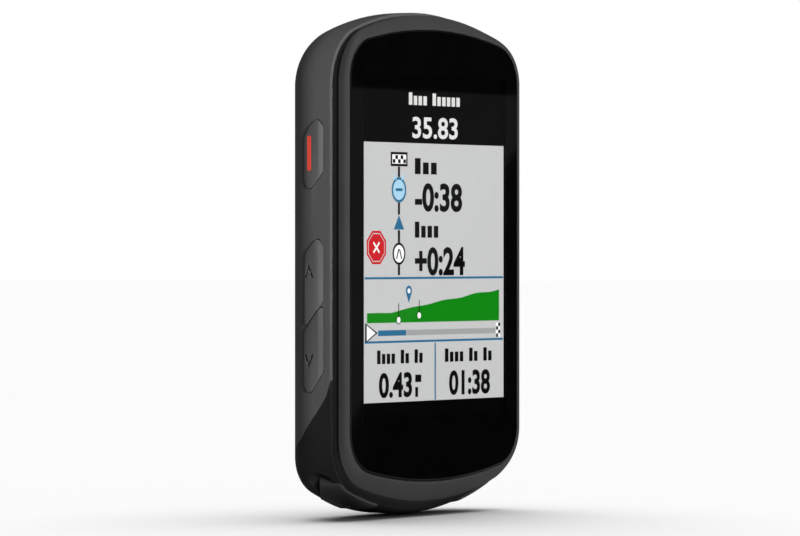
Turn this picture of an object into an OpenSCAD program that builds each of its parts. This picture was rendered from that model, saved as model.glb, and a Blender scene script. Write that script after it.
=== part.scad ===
// Cycling computer: a glass-fronted handlebar computer with seven sprung buttons, a rubber
// port cover and a quarter-turn bayonet on its back.
// It stands upright: +Z is its long way, the glass faces -Y and the bayonet faces +Y.
// The origin is the centre of the bayonet's outer face.
// Depths are counted from the front of the glass, and heights from the middle of the case.

/* [Case] */
// Width across the case
body_w = 50; // [49.6:0.2:51]
// Height of the case
body_h = 82; // [81.8:0.2:83]
// Depth of the case without its bayonet
body_depth = 16; // [15.9:0.1:16.3]
// Height of the case's middle above the bayonet's centre
case_lift = 6; // [4:0.5:7]
// Corner radius at the top of the case
case_corner = 10; // [9.5:0.5:10.5]
// Corner radius at the bottom of the case
chin_corner = 9; // [8.5:0.5:10]
// Thickness of the back cover's wall
cover_wall = 1; // [0.9:0.05:1.05]

/* [Front] */
// Half width of the glass
glass_half_w = 24; // [23.8:0.1:24]
// Top of the glass above the middle of the case
glass_top = 38; // [37.6:0.1:38]
// Bottom of the glass below the middle of the case
glass_bottom = 35.35; // [35:0.05:35.4]
// Thickness of the glass
glass_thick = 1.1; // [1:0.05:1.1]
// Depth of the front bezel's edge
bezel_depth = 1.7; // [1.7:0.05:1.8]

/* [Buttons] */
// How far a button stands out of the case
button_proud = 0.3; // [0.1:0.05:0.4]
// Radius of a button's stem
stem_r = 1.2; // [1:0.05:1.2]
// Gap between a button and the opening around it
button_gap = 0.15; // [0.12:0.01:0.2]

/* [Mount] */
// Radius of the bayonet's boss
boss_r = 12.3; // [12:0.1:12.4]
// Radius across the bayonet's two wings
wing_r = 15.3; // [15:0.1:15.4]
// Thickness of a wing
wing_thick = 1.9; // [1.7:0.1:2]
// How far the bayonet stands out of the case
mount_stand = 4; // [3.9:0.1:4.2]

/* [Hidden] */
$fn = 48;
full_depth = body_depth + mount_stand;
half_w = body_w / 2;
half_h = body_h / 2;
corner_steps = 7;
crown_steps = 4;

// Crowns of the two ends, and how far each end leans back from the glass
top_crown_r = 56;
chin_crown_r = 48;
glass_crown_r = 90;
glass_corner = 6.5;
glass_rim_corner = 6.8;
brow_run = 5;
brow_rise = 2.5;
chin_run = 9;
chin_rise = 5.1;
rim_run = 0.9;
rim_inset = 0.7;

// Rounding of the back edge, and the crowned back inside it
edge_start = 6.2;
chin_edge_start = 10.5;
edge_r = 8;
edge_sweep = 75;
arc_end = edge_start + edge_r * sin(edge_sweep);
arc_inset = edge_r * (1 - cos(edge_sweep));
crown_inset = 21;

// Depths of the layers behind the glass
ledge_front = glass_thick + 0.15;
strip_inset = 0.45;
strip_chin_extra = -0.4;
cover_front = 3.2;
cover_back = 14.3;
seat_gap = 0.05;
face_gap = 0.02;
cavity_inset = 3.6;
cavity_wall = 1.3;
cavity_back = 12.7;
chin_wall = 4.1;
chin_step_depth = 10.6;
chin_step_z = -28.5;
screen_half_w = 20.7;
screen_low = -25.4;
screen_high = 30.7;

// Corner screws join the bezel's bosses to the case's pillars: [x, z]
corner_points = [[16.5, 32.6], [-16.5, 32.6], [18.6, -27.5], [-18.6, -27.5]];
screw_boss_r = 1.7;
boss_back = 4;
frame_front = 4.05;
frame_back = 4.85;
pillar_r = 2.2;
pillar_back = 10.6;
screw_seat = 9.4;

// Main board, and what stands on it
board_front = 5.6;
board_back = 6.6;
board_screw_points = [[12.2, 32.4], [-12.2, 32.4], [13.5, -18.5], [-13.5, -18.5]];
battery_front = 8;
battery_back = 12.2;
vent_at = [11, 25.5];

// Side keys in depth and height, counter-clockwise seen from +X
power_shape = [[5.6, 23.3], [4.65, 21.7], [4.65, 14.7], [7.6, 11.5], [8.4, 13.4], [8.4, 20], [7.4, 21.7]];
up_shape = [[5.6, 4.3], [4.65, 2.6], [4.65, -5.95], [8.4, -10.35], [8.25, 1.5]];
down_shape = [[4.65, -6.4], [4.65, -17.2], [7.4, -21], [8.5, -19.3], [8.4, -10.8]];
key_depth = 6.6;
power_z = 17.6;
up_z = -2.6;
down_z = -14;
side_keys = [[-1, power_shape, power_z], [-1, up_shape, up_z], [-1, down_shape, down_z],
             [1, up_shape, up_z], [1, down_shape, down_z]];

// Where each layer of a side key lies, as a distance from the middle of the case
key_flange_out = half_w - 1.65;
key_flange_in = half_w - 2.05;
key_floor = half_w - 2.65;
key_seal_out = half_w - 3.15;
key_stem_in = half_w - 4.2;
plunger_in = half_w - 5;
switch_out = half_w - 4.85;
switch_in = half_w - 6.7;
key_board_out = half_w - 6.75;
key_board_in = half_w - 7.25;

// Chin keys turn about the centre of the chin's crown
chin_centre_z = chin_crown_r - half_h;
chin_key_angle = 21;
chin_key_from = 14.5;
chin_key_to = 27.5;
chin_key_depth = 7;
chin_key_front = 3.4;
chin_key_back = 10.6;
chin_key_depths = [3, 3.8, 5, edge_start, 8.5, chin_edge_start, 11];

// A right-hand chin key seen from below, in X and depth. Its outer back corner is cut off at a slant.
chin_key_shape = [[8, chin_key_front], [24, chin_key_front], [24, 6.2], [17.5, chin_key_back], [8, chin_key_back]];

// Finger scoop beyond each chin key: its angle round the corner, radius, depth of cut and place
scoop_angle = 48;
scoop_r = 4;
scoop_cut = 1.05;
scoop_depth = 7.1;

// Port cover and its hinge barrel
flap_half_w = 5.5;
flap_front = 6;
flap_pivot = [12.5, -37.9];
flap_barrel_r = 0.8;
flap_thick = 1.3;

// ---- Helpers ----

function dy(depth) = depth - full_depth;

function unit_at(angle) = [cos(angle), sin(angle)];

function unit(v) = v / norm(v);

// A flat shape in X and height, solid between two depths
module slab(front, back) {
    translate([0, dy(back), case_lift]) rotate([90, 0, 0]) linear_extrude(back - front) children();
}

// A flat shape in depth and height, solid between two X
module side_slab(x0, x1) {
    translate([x0, -full_depth, case_lift]) rotate([90, 0, 90]) linear_extrude(x1 - x0) children();
}

// A box between two X, two depths and two heights
module block(x0, x1, front, back, z0, z1) {
    translate([x0, dy(front), z0 + case_lift]) cube([x1 - x0, back - front, z1 - z0]);
}

// A rod that runs front to back
module rod_y(x, z, r, front, back) {
    translate([x, dy(back), z + case_lift]) rotate([90, 0, 0]) cylinder(r = r, h = back - front);
}

// A rod that runs across the case
module rod_x(depth, z, r, x0, x1) {
    translate([x0, dy(depth), z + case_lift]) rotate([0, 90, 0]) cylinder(r = r, h = x1 - x0);
}

// The shape on its own side: 1 is the right, -1 the left
module on_side(side) {
    if (side > 0) children();
    else mirror([1, 0, 0]) children();
}

// Counter-clockwise polygon moved outwards by a distance
function grow(points, by) =
    let (n = len(points))
    [for (i = [0 : n - 1])
        let (
            a = unit(points[i] - points[(i + n - 1) % n]),
            b = unit(points[(i + 1) % n] - points[i]),
            normal_a = [a.y, -a.x],
            normal_b = [b.y, -b.x]
        )
        points[i] + by * (normal_a + normal_b) / (1 + normal_a * normal_b)];

// ---- The case's outline and skin ----

// Right-hand quarter of an outline, from the end of its straight side to the middle of its crown
function quarter(wide, reach, corner_r, crown_r) =
    let (
        turn_z = reach - crown_r + sqrt(pow(crown_r - corner_r, 2) - pow(wide - corner_r, 2)),
        turn_angle = atan2(turn_z - reach + crown_r, wide - corner_r)
    )
    concat(
        [for (i = [0 : corner_steps])
            [wide - corner_r, turn_z] + corner_r * unit_at(turn_angle * i / corner_steps)],
        [for (i = [1 : crown_steps])
            [0, reach - crown_r] + crown_r * unit_at(turn_angle + (90 - turn_angle) * i / crown_steps)]
    );

// Closed outline from its top and bottom reaches, corner radii and crown radii
function outline(wide, tops, bottoms) =
    let (
        up = quarter(wide, tops[0], tops[1], tops[2]),
        down = quarter(wide, bottoms[0], bottoms[1], bottoms[2]),
        last = len(up) - 1
    )
    concat(
        up,
        [for (i = [last - 1 : -1 : 0]) [-up[i].x, up[i].y]],
        [for (i = [0 : last]) [-down[i].x, -down[i].y]],
        [for (i = [last - 1 : -1 : 0]) [down[i].x, -down[i].y]]
    );

function glass_outline(inset) =
    outline(glass_half_w - inset,
            [glass_top - inset, glass_corner - inset, glass_crown_r - inset],
            [glass_bottom - inset, glass_corner - inset, glass_crown_r - inset]);

// How far the back edge has rounded in at a depth
function back_inset(depth) =
    depth <= edge_start ? 0
    : depth <= arc_end ? edge_r * (1 - cos(asin((depth - edge_start) / edge_r)))
    : crown_inset - (crown_inset - arc_inset) * sqrt((body_depth - depth) / (body_depth - arc_end));

// The chin rounds in later than the sides do
function chin_inset(depth) =
    depth <= chin_edge_start ? 0
    : back_inset(edge_start
                 + (depth - chin_edge_start) * (body_depth - edge_start) / (body_depth - chin_edge_start));

// 1 at the glass, fading to 0 where an end stops leaning back
function lean(depth, run) = depth < run ? pow((run - depth) / run, 4) : 0;

function mix(a, b, share) = a + (b - a) * share;

// Rounding of the bezel's outer edge
function rim(depth) = depth < rim_run ? rim_inset * (1 - sqrt(1 - pow(1 - depth / rim_run, 2))) : 0;

// The case's outline at a depth, moved in by inset, and by chin_extra more at the chin
function case_outline(depth, inset, chin_extra = 0) =
    let (
        brow = lean(depth, brow_run),
        chin = lean(depth, chin_run),
        edge = back_inset(depth) + inset,
        chin_edge = chin_inset(depth) + inset + chin_extra
    )
    outline(half_w - edge - rim(depth),
            [half_h - brow_rise * brow - edge,
             max(mix(case_corner, glass_rim_corner, brow) - edge, 1),
             mix(top_crown_r, glass_crown_r, brow) - edge],
            [half_h - chin_rise * chin - chin_edge,
             max(mix(chin_corner, glass_rim_corner, chin) - edge, 1),
             mix(chin_crown_r, glass_crown_r, chin) - chin_edge]);

function ring(depth, points) = [for (p = points) [p.x, dy(depth), p.y + case_lift]];

// Solid through a list of rings that run front to back
module loft(rings) {
    n = len(rings[0]);
    last = len(rings) - 1;
    polyhedron(
        points = [for (r = rings) each r],
        faces = concat(
            [[for (i = [n - 1 : -1 : 0]) i]],
            [for (k = [0 : last - 1], i = [0 : n - 1])
                [k * n + i, k * n + (i + 1) % n, (k + 1) * n + (i + 1) % n]],
            [for (k = [0 : last - 1], i = [0 : n - 1])
                [k * n + i, (k + 1) * n + (i + 1) % n, (k + 1) * n + i]],
            [[for (i = [0 : n - 1]) last * n + i]]
        )
    );
}

// The outer skin from just behind the bezel to the back. A dark strip stands back behind the bezel, but
// runs out at the chin.
skin_depths = [4.4, edge_start, 8.5, chin_edge_start, 11.6, 12.8, arc_end, 14.6, 15.3, 15.8, body_depth];

module skin() {
    loft(concat(
        [for (d = [bezel_depth + face_gap, cover_front - seat_gap])
            ring(d, case_outline(d, strip_inset, strip_chin_extra))],
        [ring(cover_front, case_outline(cover_front, 0))],
        [for (d = skin_depths) ring(d, case_outline(d, 0))]
    ));
}

// Everything inside the back cover, moved in by inset
module under_cover(inset, back) {
    depths = [2.6, edge_start, 9, 11, 12.6, 13.6];
    loft(concat(
        [for (d = depths) ring(d, case_outline(d, inset))],
        [ring(back, case_outline(back, inset))]
    ));
}

// Side view of the part of the case that the back cover wraps
split_low = -18.4;
cover_low = -29.5;
cover_side = [[cover_front, split_low], [4.1, -21.1], [6.2, -24], [9.6, -28], [11.5, cover_low],
              [17, cover_low], [17, 45], [cover_front, 45]];

module cover_region(by) {
    side_slab(-30, 30) polygon(grow(cover_side, by));
}

// Hollow of the case. It stops higher up behind the chin, where the tether bar is.
module cavity() {
    front_depths = [bezel_depth - 0.1, 3.2, 5, 8.5, chin_step_depth];
    back_depths = [chin_step_depth, 11.8, cavity_back];
    loft([for (d = front_depths) ring(d, cavity_outline(d))]);
    intersection() {
        loft([for (d = back_depths) ring(d, cavity_outline(d))]);
        block(-half_w, half_w, 5, 14, chin_step_z, half_h);
    }
}

function cavity_outline(depth) =
    let (inset = max(cavity_inset - back_inset(depth), cover_wall + seat_gap + cavity_wall))
    case_outline(depth, inset, chin_wall - inset);

// ---- Keys ----

// Everything from a side key's outer face inwards to a plane, following the rounded side
module side_band(outer, inner) {
    depths = [3, edge_start, 7, 8, 9, 10];
    translate([0, 0, -30])
        linear_extrude(70)
            polygon(concat(
                [for (d = depths) [outer - back_inset(d), dy(d)]],
                [[inner, dy(10)], [inner, dy(3)]]
            ));
}

// Cap, flange and stem of a key on the right side. Its flange keeps clear of a neighbour's.
module side_key(shape, z, neighbour) {
    intersection() {
        side_slab(key_flange_out - 0.1, half_w + 2) polygon(shape);
        side_band(half_w + button_proud, key_flange_out - 0.1);
    }
    side_slab(key_flange_in, key_flange_out)
        difference() {
            polygon(grow(shape, 0.45));
            if (len(neighbour) > 0) polygon(grow(neighbour, 0.5));
        }
    rod_x(key_depth, z, stem_r, key_stem_in, key_flange_in);
}

// Room for that key: its opening, the pocket for its flange, its stem's bore and its seal's seat
module side_key_room(shape, z) {
    side_slab(key_floor, half_w + 2) polygon(grow(shape, 0.6));
    rod_x(key_depth, z, stem_r + 0.05, key_stem_in, key_floor + 1);
    rod_x(key_depth, z, stem_r + 0.75, key_stem_in, key_seal_out);
}

module chevron(point, tip, legs) {
    for (leg = legs)
        hull() {
            translate(tip) circle(r = point, $fn = 16);
            translate(leg) circle(r = point, $fn = 16);
        }
}

// Turns a shape drawn straight down from the crown's centre to a chin key's angle
module chin_turn() {
    translate([0, 0, chin_centre_z + case_lift])
        rotate([0, -chin_key_angle, 0])
            translate([0, 0, -chin_centre_z - case_lift])
                children();
}

// Wedge from the crown's centre that holds a right-hand chin key, with extra at each end
module chin_wedge(extra) {
    from = chin_key_from - 90;
    to = chin_key_to - 90;
    polygon([
        [0, chin_centre_z] + 20 * unit_at(from) + extra * unit_at(from - 90),
        [0, chin_centre_z] + 60 * unit_at(from) + extra * unit_at(from - 90),
        [0, chin_centre_z] + 60 * unit_at(to) + extra * unit_at(to + 90),
        [0, chin_centre_z] + 20 * unit_at(to) + extra * unit_at(to + 90)
    ]);
}

// Band of the chin between two insets from the case's outline, within the wedge
module chin_band(outer, inner, extra) {
    intersection() {
        difference() {
            polygon(case_outline(chin_run, outer));
            polygon(case_outline(chin_run, inner));
        }
        chin_wedge(extra);
    }
}

// Height of a point on a chin key's own axis at an inset from the case's outline
function chin_axis_z(inset) = inset - half_h;

module chin_rod(r, outer, inner) {
    translate([0, dy(chin_key_depth), chin_axis_z(outer) + case_lift]) cylinder(r = r, h = inner - outer);
}

module chin_key_face(by) {
    translate([0, -full_depth, case_lift - half_h - 3])
        linear_extrude(20)
            polygon(grow(chin_key_shape, by));
}

module chin_key(side) {
    on_side(side) {
        intersection() {
            chin_key_face(0);
            slab(chin_key_front, chin_key_back) chin_band(-2, 1.6, 0);
            loft([for (d = chin_key_depths) ring(d, case_outline(d, -button_proud))]);
        }
        slab(chin_key_front - 0.4, chin_key_back + 0.4) chin_band(1.6, 2, 0.35);
        chin_turn() chin_rod(stem_r, 1.9, 4.8);
    }
}

module chin_key_room(side) {
    on_side(side) {
        intersection() {
            chin_key_face(button_gap);
            slab(chin_key_front - button_gap, chin_key_back + button_gap) chin_band(-2, 2.7, button_gap);
        }
        slab(chin_key_front - 0.55, chin_key_back + 0.55) chin_band(1.5, 2.7, 0.5);
        chin_turn() chin_rod(stem_r + 0.05, 2, 6);
        chin_turn() chin_rod(stem_r + 0.75, 3.7, 6);
    }
}

// Hollow in the corner of the case that bares the end of a chin key
module scoop(side) {
    corner_x = half_w - chin_corner;
    corner_z = chin_centre_z - sqrt(pow(chin_crown_r - chin_corner, 2) - pow(corner_x, 2));
    centre = [corner_x, corner_z] + (chin_corner - scoop_cut + scoop_r) * unit_at(-scoop_angle);
    on_side(side) translate([centre.x, dy(scoop_depth), centre.y + case_lift]) sphere(r = scoop_r);
}

module power_button() {
    color([0.22, 0.22, 0.23])
    difference() {
        on_side(-1) side_key(power_shape, power_z, []);
        power_mark_bar(0.02);
    }
}

// Coloured bar let into the power button's face
module power_mark_bar(spare) {
    mark_depth = [6.85, 7.75];
    mark_z = [14.85, 20.4];
    outer = half_w + button_proud - 0.05;
    intersection() {
        block(-outer - 1, -outer + 0.5, mark_depth[0] - spare, mark_depth[1] + spare,
              mark_z[0] - spare, mark_z[1] + spare);
        on_side(-1) side_band(half_w + button_proud + spare, half_w - 1);
    }
}

module power_button_mark() {
    color([0.85, 0.2, 0.15]) power_mark_bar(0);
}

// A side key with an arrow cut into its face, pointing at the tip
module arrow_key(side, shape, z, neighbour, tip, legs) {
    arrow_deep = 0.25;
    difference() {
        on_side(side) side_key(shape, z, neighbour);
        on_side(side)
            difference() {
                side_slab(half_w - 1, half_w + 2) chevron(0.24, tip, legs);
                side_band(half_w + button_proud - arrow_deep, half_w - 2);
            }
    }
}

module up_button() {
    color([0.22, 0.22, 0.23])
        arrow_key(-1, up_shape, up_z, down_shape, [7.45, -0.4], [[8.15, -2.2], [6.6, -2.2]]);
}

module down_button() {
    color([0.22, 0.22, 0.23])
        arrow_key(-1, down_shape, down_z, up_shape, [7.45, -16.4], [[8.15, -14.4], [6.6, -14.4]]);
}

module enter_button() {
    color([0.22, 0.22, 0.23]) on_side(1) side_key(up_shape, up_z, down_shape);
}

module back_button() {
    color([0.22, 0.22, 0.23]) on_side(1) side_key(down_shape, down_z, up_shape);
}

module lap_button() {
    color([0.12, 0.12, 0.13]) chin_key(-1);
}

module start_button() {
    color([0.12, 0.12, 0.13]) chin_key(1);
}

// Plunger of the switch behind a side key
module side_plunger(side, z) {
    color([0.9, 0.9, 0.85]) on_side(side) rod_x(key_depth, z, 0.9, plunger_in, key_stem_in);
}

module power_plunger() {
    side_plunger(-1, power_z);
}

module up_plunger() {
    side_plunger(-1, up_z);
}

module down_plunger() {
    side_plunger(-1, down_z);
}

module enter_plunger() {
    side_plunger(1, up_z);
}

module back_plunger() {
    side_plunger(1, down_z);
}

module chin_plunger(side) {
    color([0.9, 0.9, 0.85]) on_side(side) chin_turn() chin_rod(0.9, 4.8, 5.6);
}

module lap_plunger() {
    chin_plunger(-1);
}

module start_plunger() {
    chin_plunger(1);
}

// Seven switch bodies, each with a hole that its plunger slides in
module key_switches() {
    color([0.15, 0.15, 0.16])
    {
        for (key = side_keys)
            on_side(key[0])
                difference() {
                    block(switch_in, switch_out, key_depth - 1.5, key_depth + 1.5, key[2] - 1.8, key[2] + 1.8);
                    rod_x(key_depth, key[2], 0.95, plunger_in - 0.6, switch_out + 1);
                }
        for (side = [-1, 1])
            on_side(side)
                chin_turn()
                    difference() {
                        block(-1.8, 1.8, chin_key_depth - 1.5, chin_key_depth + 1.5,
                              chin_axis_z(5.45), chin_axis_z(7.3));
                        chin_rod(0.95, 5, 6.2);
                    }
    }
}

// Seven rubber lip seals, one round each stem
module button_seals() {
    color([0.1, 0.1, 0.1])
    {
        for (key = side_keys)
            on_side(key[0])
                difference() {
                    rod_x(key_depth, key[2], stem_r + 0.7, key_seal_out - 0.42, key_seal_out - 0.02);
                    rod_x(key_depth, key[2], stem_r + 0.03, key_seal_out - 1, key_seal_out + 1);
                }
        for (side = [-1, 1])
            on_side(side)
                chin_turn()
                    difference() {
                        chin_rod(stem_r + 0.7, 3.72, 4.08);
                        chin_rod(stem_r + 0.03, 3, 5);
                    }
    }
}

module side_key_board(side, z0, z1) {
    color([0.1, 0.3, 0.15]) on_side(side) block(key_board_in, key_board_out, 4.95, 9.2, z0, z1);
}

module left_key_board() {
    side_key_board(-1, -18, 22);
}

module right_key_board() {
    side_key_board(1, -18, 3);
}

module chin_key_board(side) {
    color([0.1, 0.3, 0.15]) on_side(side) chin_turn()
        block(-4.2, 2.1, 4.95, 9.2, chin_axis_z(7.35), chin_axis_z(7.8));
}

module lap_key_board() {
    chin_key_board(-1);
}

module start_key_board() {
    chin_key_board(1);
}

// ---- Outer shells ----

// Opening in the bezel's ledge that the screen shows through
module screen_window(spare) {
    translate([-screen_half_w - spare, screen_low - spare])
        square([2 * (screen_half_w + spare), screen_high - screen_low + 2 * spare]);
}

sensor_at = [-9.6, 32.1];

module lens() {
    color([0.03, 0.03, 0.03]) slab(0, glass_thick) polygon(glass_outline(0));
}

module lens_adhesive() {
    color([0.1, 0.1, 0.1])
        slab(glass_thick, ledge_front)
            difference() {
                polygon(glass_outline(0.3));
                screen_window(0.2);
                translate(sensor_at) circle(r = 1);
            }
}

module front_bezel() {
    depths = [0.02, 0.12, 0.35, 0.9, bezel_depth];
    color([0.13, 0.13, 0.14])
    difference() {
        union() {
            difference() {
                loft([for (d = depths) ring(d, case_outline(d, 0))]);
                slab(-1, ledge_front) polygon(glass_outline(-0.05));
            }
            slab(bezel_depth - 0.2, bezel_depth + 1) bezel_rib();
            for (p = corner_points) rod_y(p.x, p.y, screw_boss_r, bezel_depth - 0.2, boss_back);
        }
        slab(0.5, boss_back + 1) screen_window(0);
        for (p = corner_points) rod_y(p.x, p.y, 0.8, bezel_depth + 0.3, boss_back + 1);
        rod_y(sensor_at.x, sensor_at.y, 0.85, 0.5, boss_back + 1);
    }
}

// Rib behind the bezel that finds the inside of the case
module bezel_rib() {
    difference() {
        polygon(case_outline(bezel_depth, cavity_inset + 0.1, chin_wall - cavity_inset));
        polygon(case_outline(bezel_depth, cavity_inset + 0.6, chin_wall - cavity_inset));
        screen_window(0);
    }
}

// Ring between two insets that the perimeter seal fills
module seal_ring(outer, inner) {
    difference() {
        polygon(case_outline(bezel_depth, outer));
        polygon(case_outline(bezel_depth, inner));
    }
}

module case_seal() {
    color([0.25, 0.25, 0.26]) slab(bezel_depth + 0.01, bezel_depth + 0.6) seal_ring(1.4, 2.2);
}

mount_screw_points = [for (a = [45 : 90 : 315]) 8.6 * unit_at(a) - [0, case_lift]];
insert_floor = 14.9;
boss_lead = 1.5;
boss_lead_depth = 1.6;

module mid_case() {
    color([0.08, 0.08, 0.09])
    difference() {
        union() {
            difference() {
                skin();
                difference() {
                    cover_region(seat_gap);
                    under_cover(cover_wall + seat_gap, cover_back - seat_gap);
                }
                cavity();
            }
            for (p = corner_points) rod_y(p.x, p.y, pillar_r, frame_back + 0.05, pillar_back);
        }
        slab(bezel_depth - 0.1, bezel_depth + 0.62) seal_ring(1.35, 2.25);
        for (key = side_keys) on_side(key[0]) side_key_room(key[1], key[2]);
        for (side = [-1, 1]) chin_key_room(side);
        for (side = [-1, 1]) scoop(side);
        for (p = corner_points) {
            rod_y(p.x, p.y, 0.85, boss_back, cover_back);
            rod_y(p.x, p.y, 1.65, screw_seat, cover_back);
        }
        for (p = mount_screw_points) rod_y(p.x, p.y, 0.82, cavity_back - 0.1, cover_back);
        rod_y(vent_at.x, vent_at.y, 0.9, cavity_back - 0.1, cover_back);
        port_room();
        tether_room();
    }
}

// Mouth of the port, the pocket of its cover and the relief round the cover's hinge
module port_room() {
    block(-4.3, 4.3, 6.5, 9.75, -half_h - 1, -half_h + chin_wall + 0.5);
    block(-flap_half_w - 0.2, flap_half_w + 0.2, flap_front - 0.25, flap_pivot[0],
          -half_h - 1, flap_pivot[1] - 0.4);
    rod_x(flap_pivot[0], flap_pivot[1], flap_barrel_r + 0.35, -flap_half_w - 0.2, flap_half_w + 0.2);
    block(-flap_half_w - 0.2, flap_half_w + 0.2, flap_pivot[0] - 0.1, flap_pivot[0] + 2.2,
          -half_h - 1, flap_pivot[1] - 0.2);
}

// Two pockets with a bar left between them, drilled for a tether
module tether_room() {
    tether = [12.9, -33];
    for (side = [-1, 1]) on_side(side) block(1.6, 4.8, 11.2, full_depth, -35.2, -31);
    rod_x(tether[0], tether[1], 0.9, -3, 3);
}

module back_cover() {
    color([0.2, 0.2, 0.21])
    difference() {
        intersection() {
            skin();
            cover_region(0);
        }
        under_cover(cover_wall, cover_back);
        for (key = side_keys)
            on_side(key[0]) side_slab(key_floor, half_w + 2) polygon(grow(key[1], button_gap));
        rod_y(0, -case_lift, boss_r + 1.2, insert_floor, full_depth);
        for (p = mount_screw_points) rod_y(p.x, p.y, 0.85, cover_back - 1, full_depth);
        for (i = [-1 : 1]) rod_y(vent_at.x, vent_at.y + 1.6 * i, 0.45, cover_back - 1, full_depth);
    }
}

// Rubber flap with a plug that fills the port's mouth, on a barrel that stands for its strap
module usb_cover() {
    plug_top = -36.4;
    color([0.07, 0.07, 0.07])
    {
        intersection() {
            skin();
            side_slab(-flap_half_w, flap_half_w)
                polygon([[flap_front, -half_h - 1], [flap_pivot[0] - 0.4, -half_h - 1],
                         [flap_pivot[0] - 0.4, flap_pivot[1] - 0.45], [10.4, -half_h + flap_thick + 0.6],
                         [flap_front, -half_h + flap_thick]]);
        }
        block(-3.1, 3.1, 7.3, 8.9, -half_h + 1, plug_top);
        rod_x(flap_pivot[0], flap_pivot[1], flap_barrel_r, -flap_half_w, flap_half_w);
    }
}

// ---- Quarter-turn bayonet ----

// Two opposite wings, as wide as a sweep of angle each
module wings(half_sweep) {
    intersection() {
        rod_y(0, -case_lift, wing_r, full_depth - wing_thick, full_depth);
        for (side = [0, 180])
            rotate([0, side, 0])
                slab_at_mount(full_depth - wing_thick, full_depth)
                    polygon([[0, 0], 25 * unit_at(90 - half_sweep), 25 * unit_at(90 + half_sweep)]);
    }
}

// A flat shape centred on the bayonet, solid between two depths
module slab_at_mount(front, back) {
    translate([0, dy(back), 0]) rotate([90, 0, 0]) linear_extrude(back - front) children();
}

module mount_insert() {
    head_floor = full_depth - 2.2;
    color([0.06, 0.06, 0.06])
    difference() {
        union() {
            rod_y(0, -case_lift, boss_r + 1.1, insert_floor + 0.02, body_depth + 0.4);
            rod_y(0, -case_lift, boss_r, body_depth, full_depth - boss_lead_depth);
            translate([0, dy(full_depth), 0])
                rotate([90, 0, 0])
                    cylinder(r1 = boss_r - boss_lead, r2 = boss_r, h = boss_lead_depth);
            wings(33);
        }
        for (p = mount_screw_points) {
            rod_y(p.x, p.y, 0.85, insert_floor - 1, full_depth);
            rod_y(p.x, p.y, 1.7, head_floor, full_depth + 1);
        }
    }
}

// Screw along Y with a round head and a six-sided socket
module screw(p, shank_r, head_r, tip, head_front, head_back) {
    difference() {
        union() {
            rod_y(p.x, p.y, shank_r, tip, head_front + 0.1);
            rod_y(p.x, p.y, head_r, head_front, head_back);
        }
        translate([p.x, dy(head_back) + 0.01, p.y + case_lift])
            rotate([90, 0, 0])
                cylinder(r = head_r * 0.45, h = (head_back - head_front) * 0.6, $fn = 6);
    }
}

module mount_screws() {
    color([0.6, 0.6, 0.62])
        for (p = mount_screw_points) screw(p, 0.8, 1.6, cavity_back + 0.1, full_depth - 2.18, full_depth - 0.6);
}

module case_screws() {
    color([0.6, 0.6, 0.62])
        for (p = corner_points) screw(p, 0.78, 1.55, bezel_depth + 0.5, screw_seat + 0.02, pillar_back);
}

// ---- Screen, frame and boards ----

module light_sensor() {
    color([0.1, 0.1, 0.3]) rod_y(sensor_at.x, sensor_at.y, 0.8, ledge_front + 0.05, 2.4);
}

module display_panel() {
    color([0.75, 0.76, 0.75]) slab(glass_thick + 0.02, 2.9) screen_window(-0.1);
}

module backlight() {
    color([0.95, 0.95, 0.95]) slab(2.95, 3.9) screen_window(-0.3);
}

// Flat tail that runs from the screen's lower edge, round the frame, to the back of the board
module display_flex() {
    tail = 0.15;
    low = -26.9;
    up = -21;
    color([0.8, 0.5, 0.1])
        side_slab(-15, -8)
            polygon([[3.93, -25], [3.93, low], [board_back + 0.02 + tail, low], [board_back + 0.02 + tail, up],
                     [board_back + 0.02, up], [board_back + 0.02, low + tail], [3.93 + tail - 0.03, low + tail],
                     [3.93 + tail - 0.03, -25]]);
}

// Metal frame that carries the board, clamped between the bosses and the pillars
module inner_frame() {
    frame_half_w = 20.9;
    color([0.7, 0.7, 0.72])
    difference() {
        union() {
            slab(frame_front, frame_back)
                difference() {
                    union() {
                        translate([-frame_half_w, -27.2]) square([2 * frame_half_w, 57.5]);
                        translate([-14, 30]) square([28, 5.4]);
                        for (p = corner_points) translate(p) circle(r = 1.9);
                    }
                    translate([-15.6, -30]) square([8.2, 4.7]);
                    translate([-9, -12]) square([18, 24]);
                }
            for (p = board_screw_points) rod_y(p.x, p.y, 1.5, frame_front, board_front);
        }
        for (p = corner_points) rod_y(p.x, p.y, 0.85, frame_front - 1, frame_back + 1);
        for (p = board_screw_points) rod_y(p.x, p.y, 0.6, frame_front - 1, board_front + 1);
    }
}

module main_board() {
    color([0.08, 0.3, 0.14])
    difference() {
        slab(board_front + 0.01, board_back)
            polygon([[-16.8, -22], [-6.5, -22], [-6.5, -36], [6.5, -36], [6.5, -22], [16.8, -22],
                     [16.8, 29.4], [13.9, 30.4], [13.9, 35], [-13.9, 35], [-13.9, 30.4], [-16.8, 29.4]]);
        for (p = board_screw_points) rod_y(p.x, p.y, 0.7, board_front - 1, board_back + 1);
    }
}

module board_screws() {
    color([0.6, 0.6, 0.62])
        for (p = board_screw_points)
            screw(p, 0.58, 1.1, frame_front + 0.1, board_back + 0.01, board_back + 0.8);
}

// Two pressed lids over the radio and the processor
module shield_cans() {
    cans = [[-15, -1, -15, 0], [1.5, 15, -15, 0]];
    color([0.75, 0.75, 0.78])
        for (c = cans)
            difference() {
                block(c[0], c[1], board_back + 0.01, 7.8, c[2], c[3]);
                block(c[0] + 0.2, c[1] - 0.2, board_back - 1, 7.6, c[2] + 0.2, c[3] - 0.2);
            }
}

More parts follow.
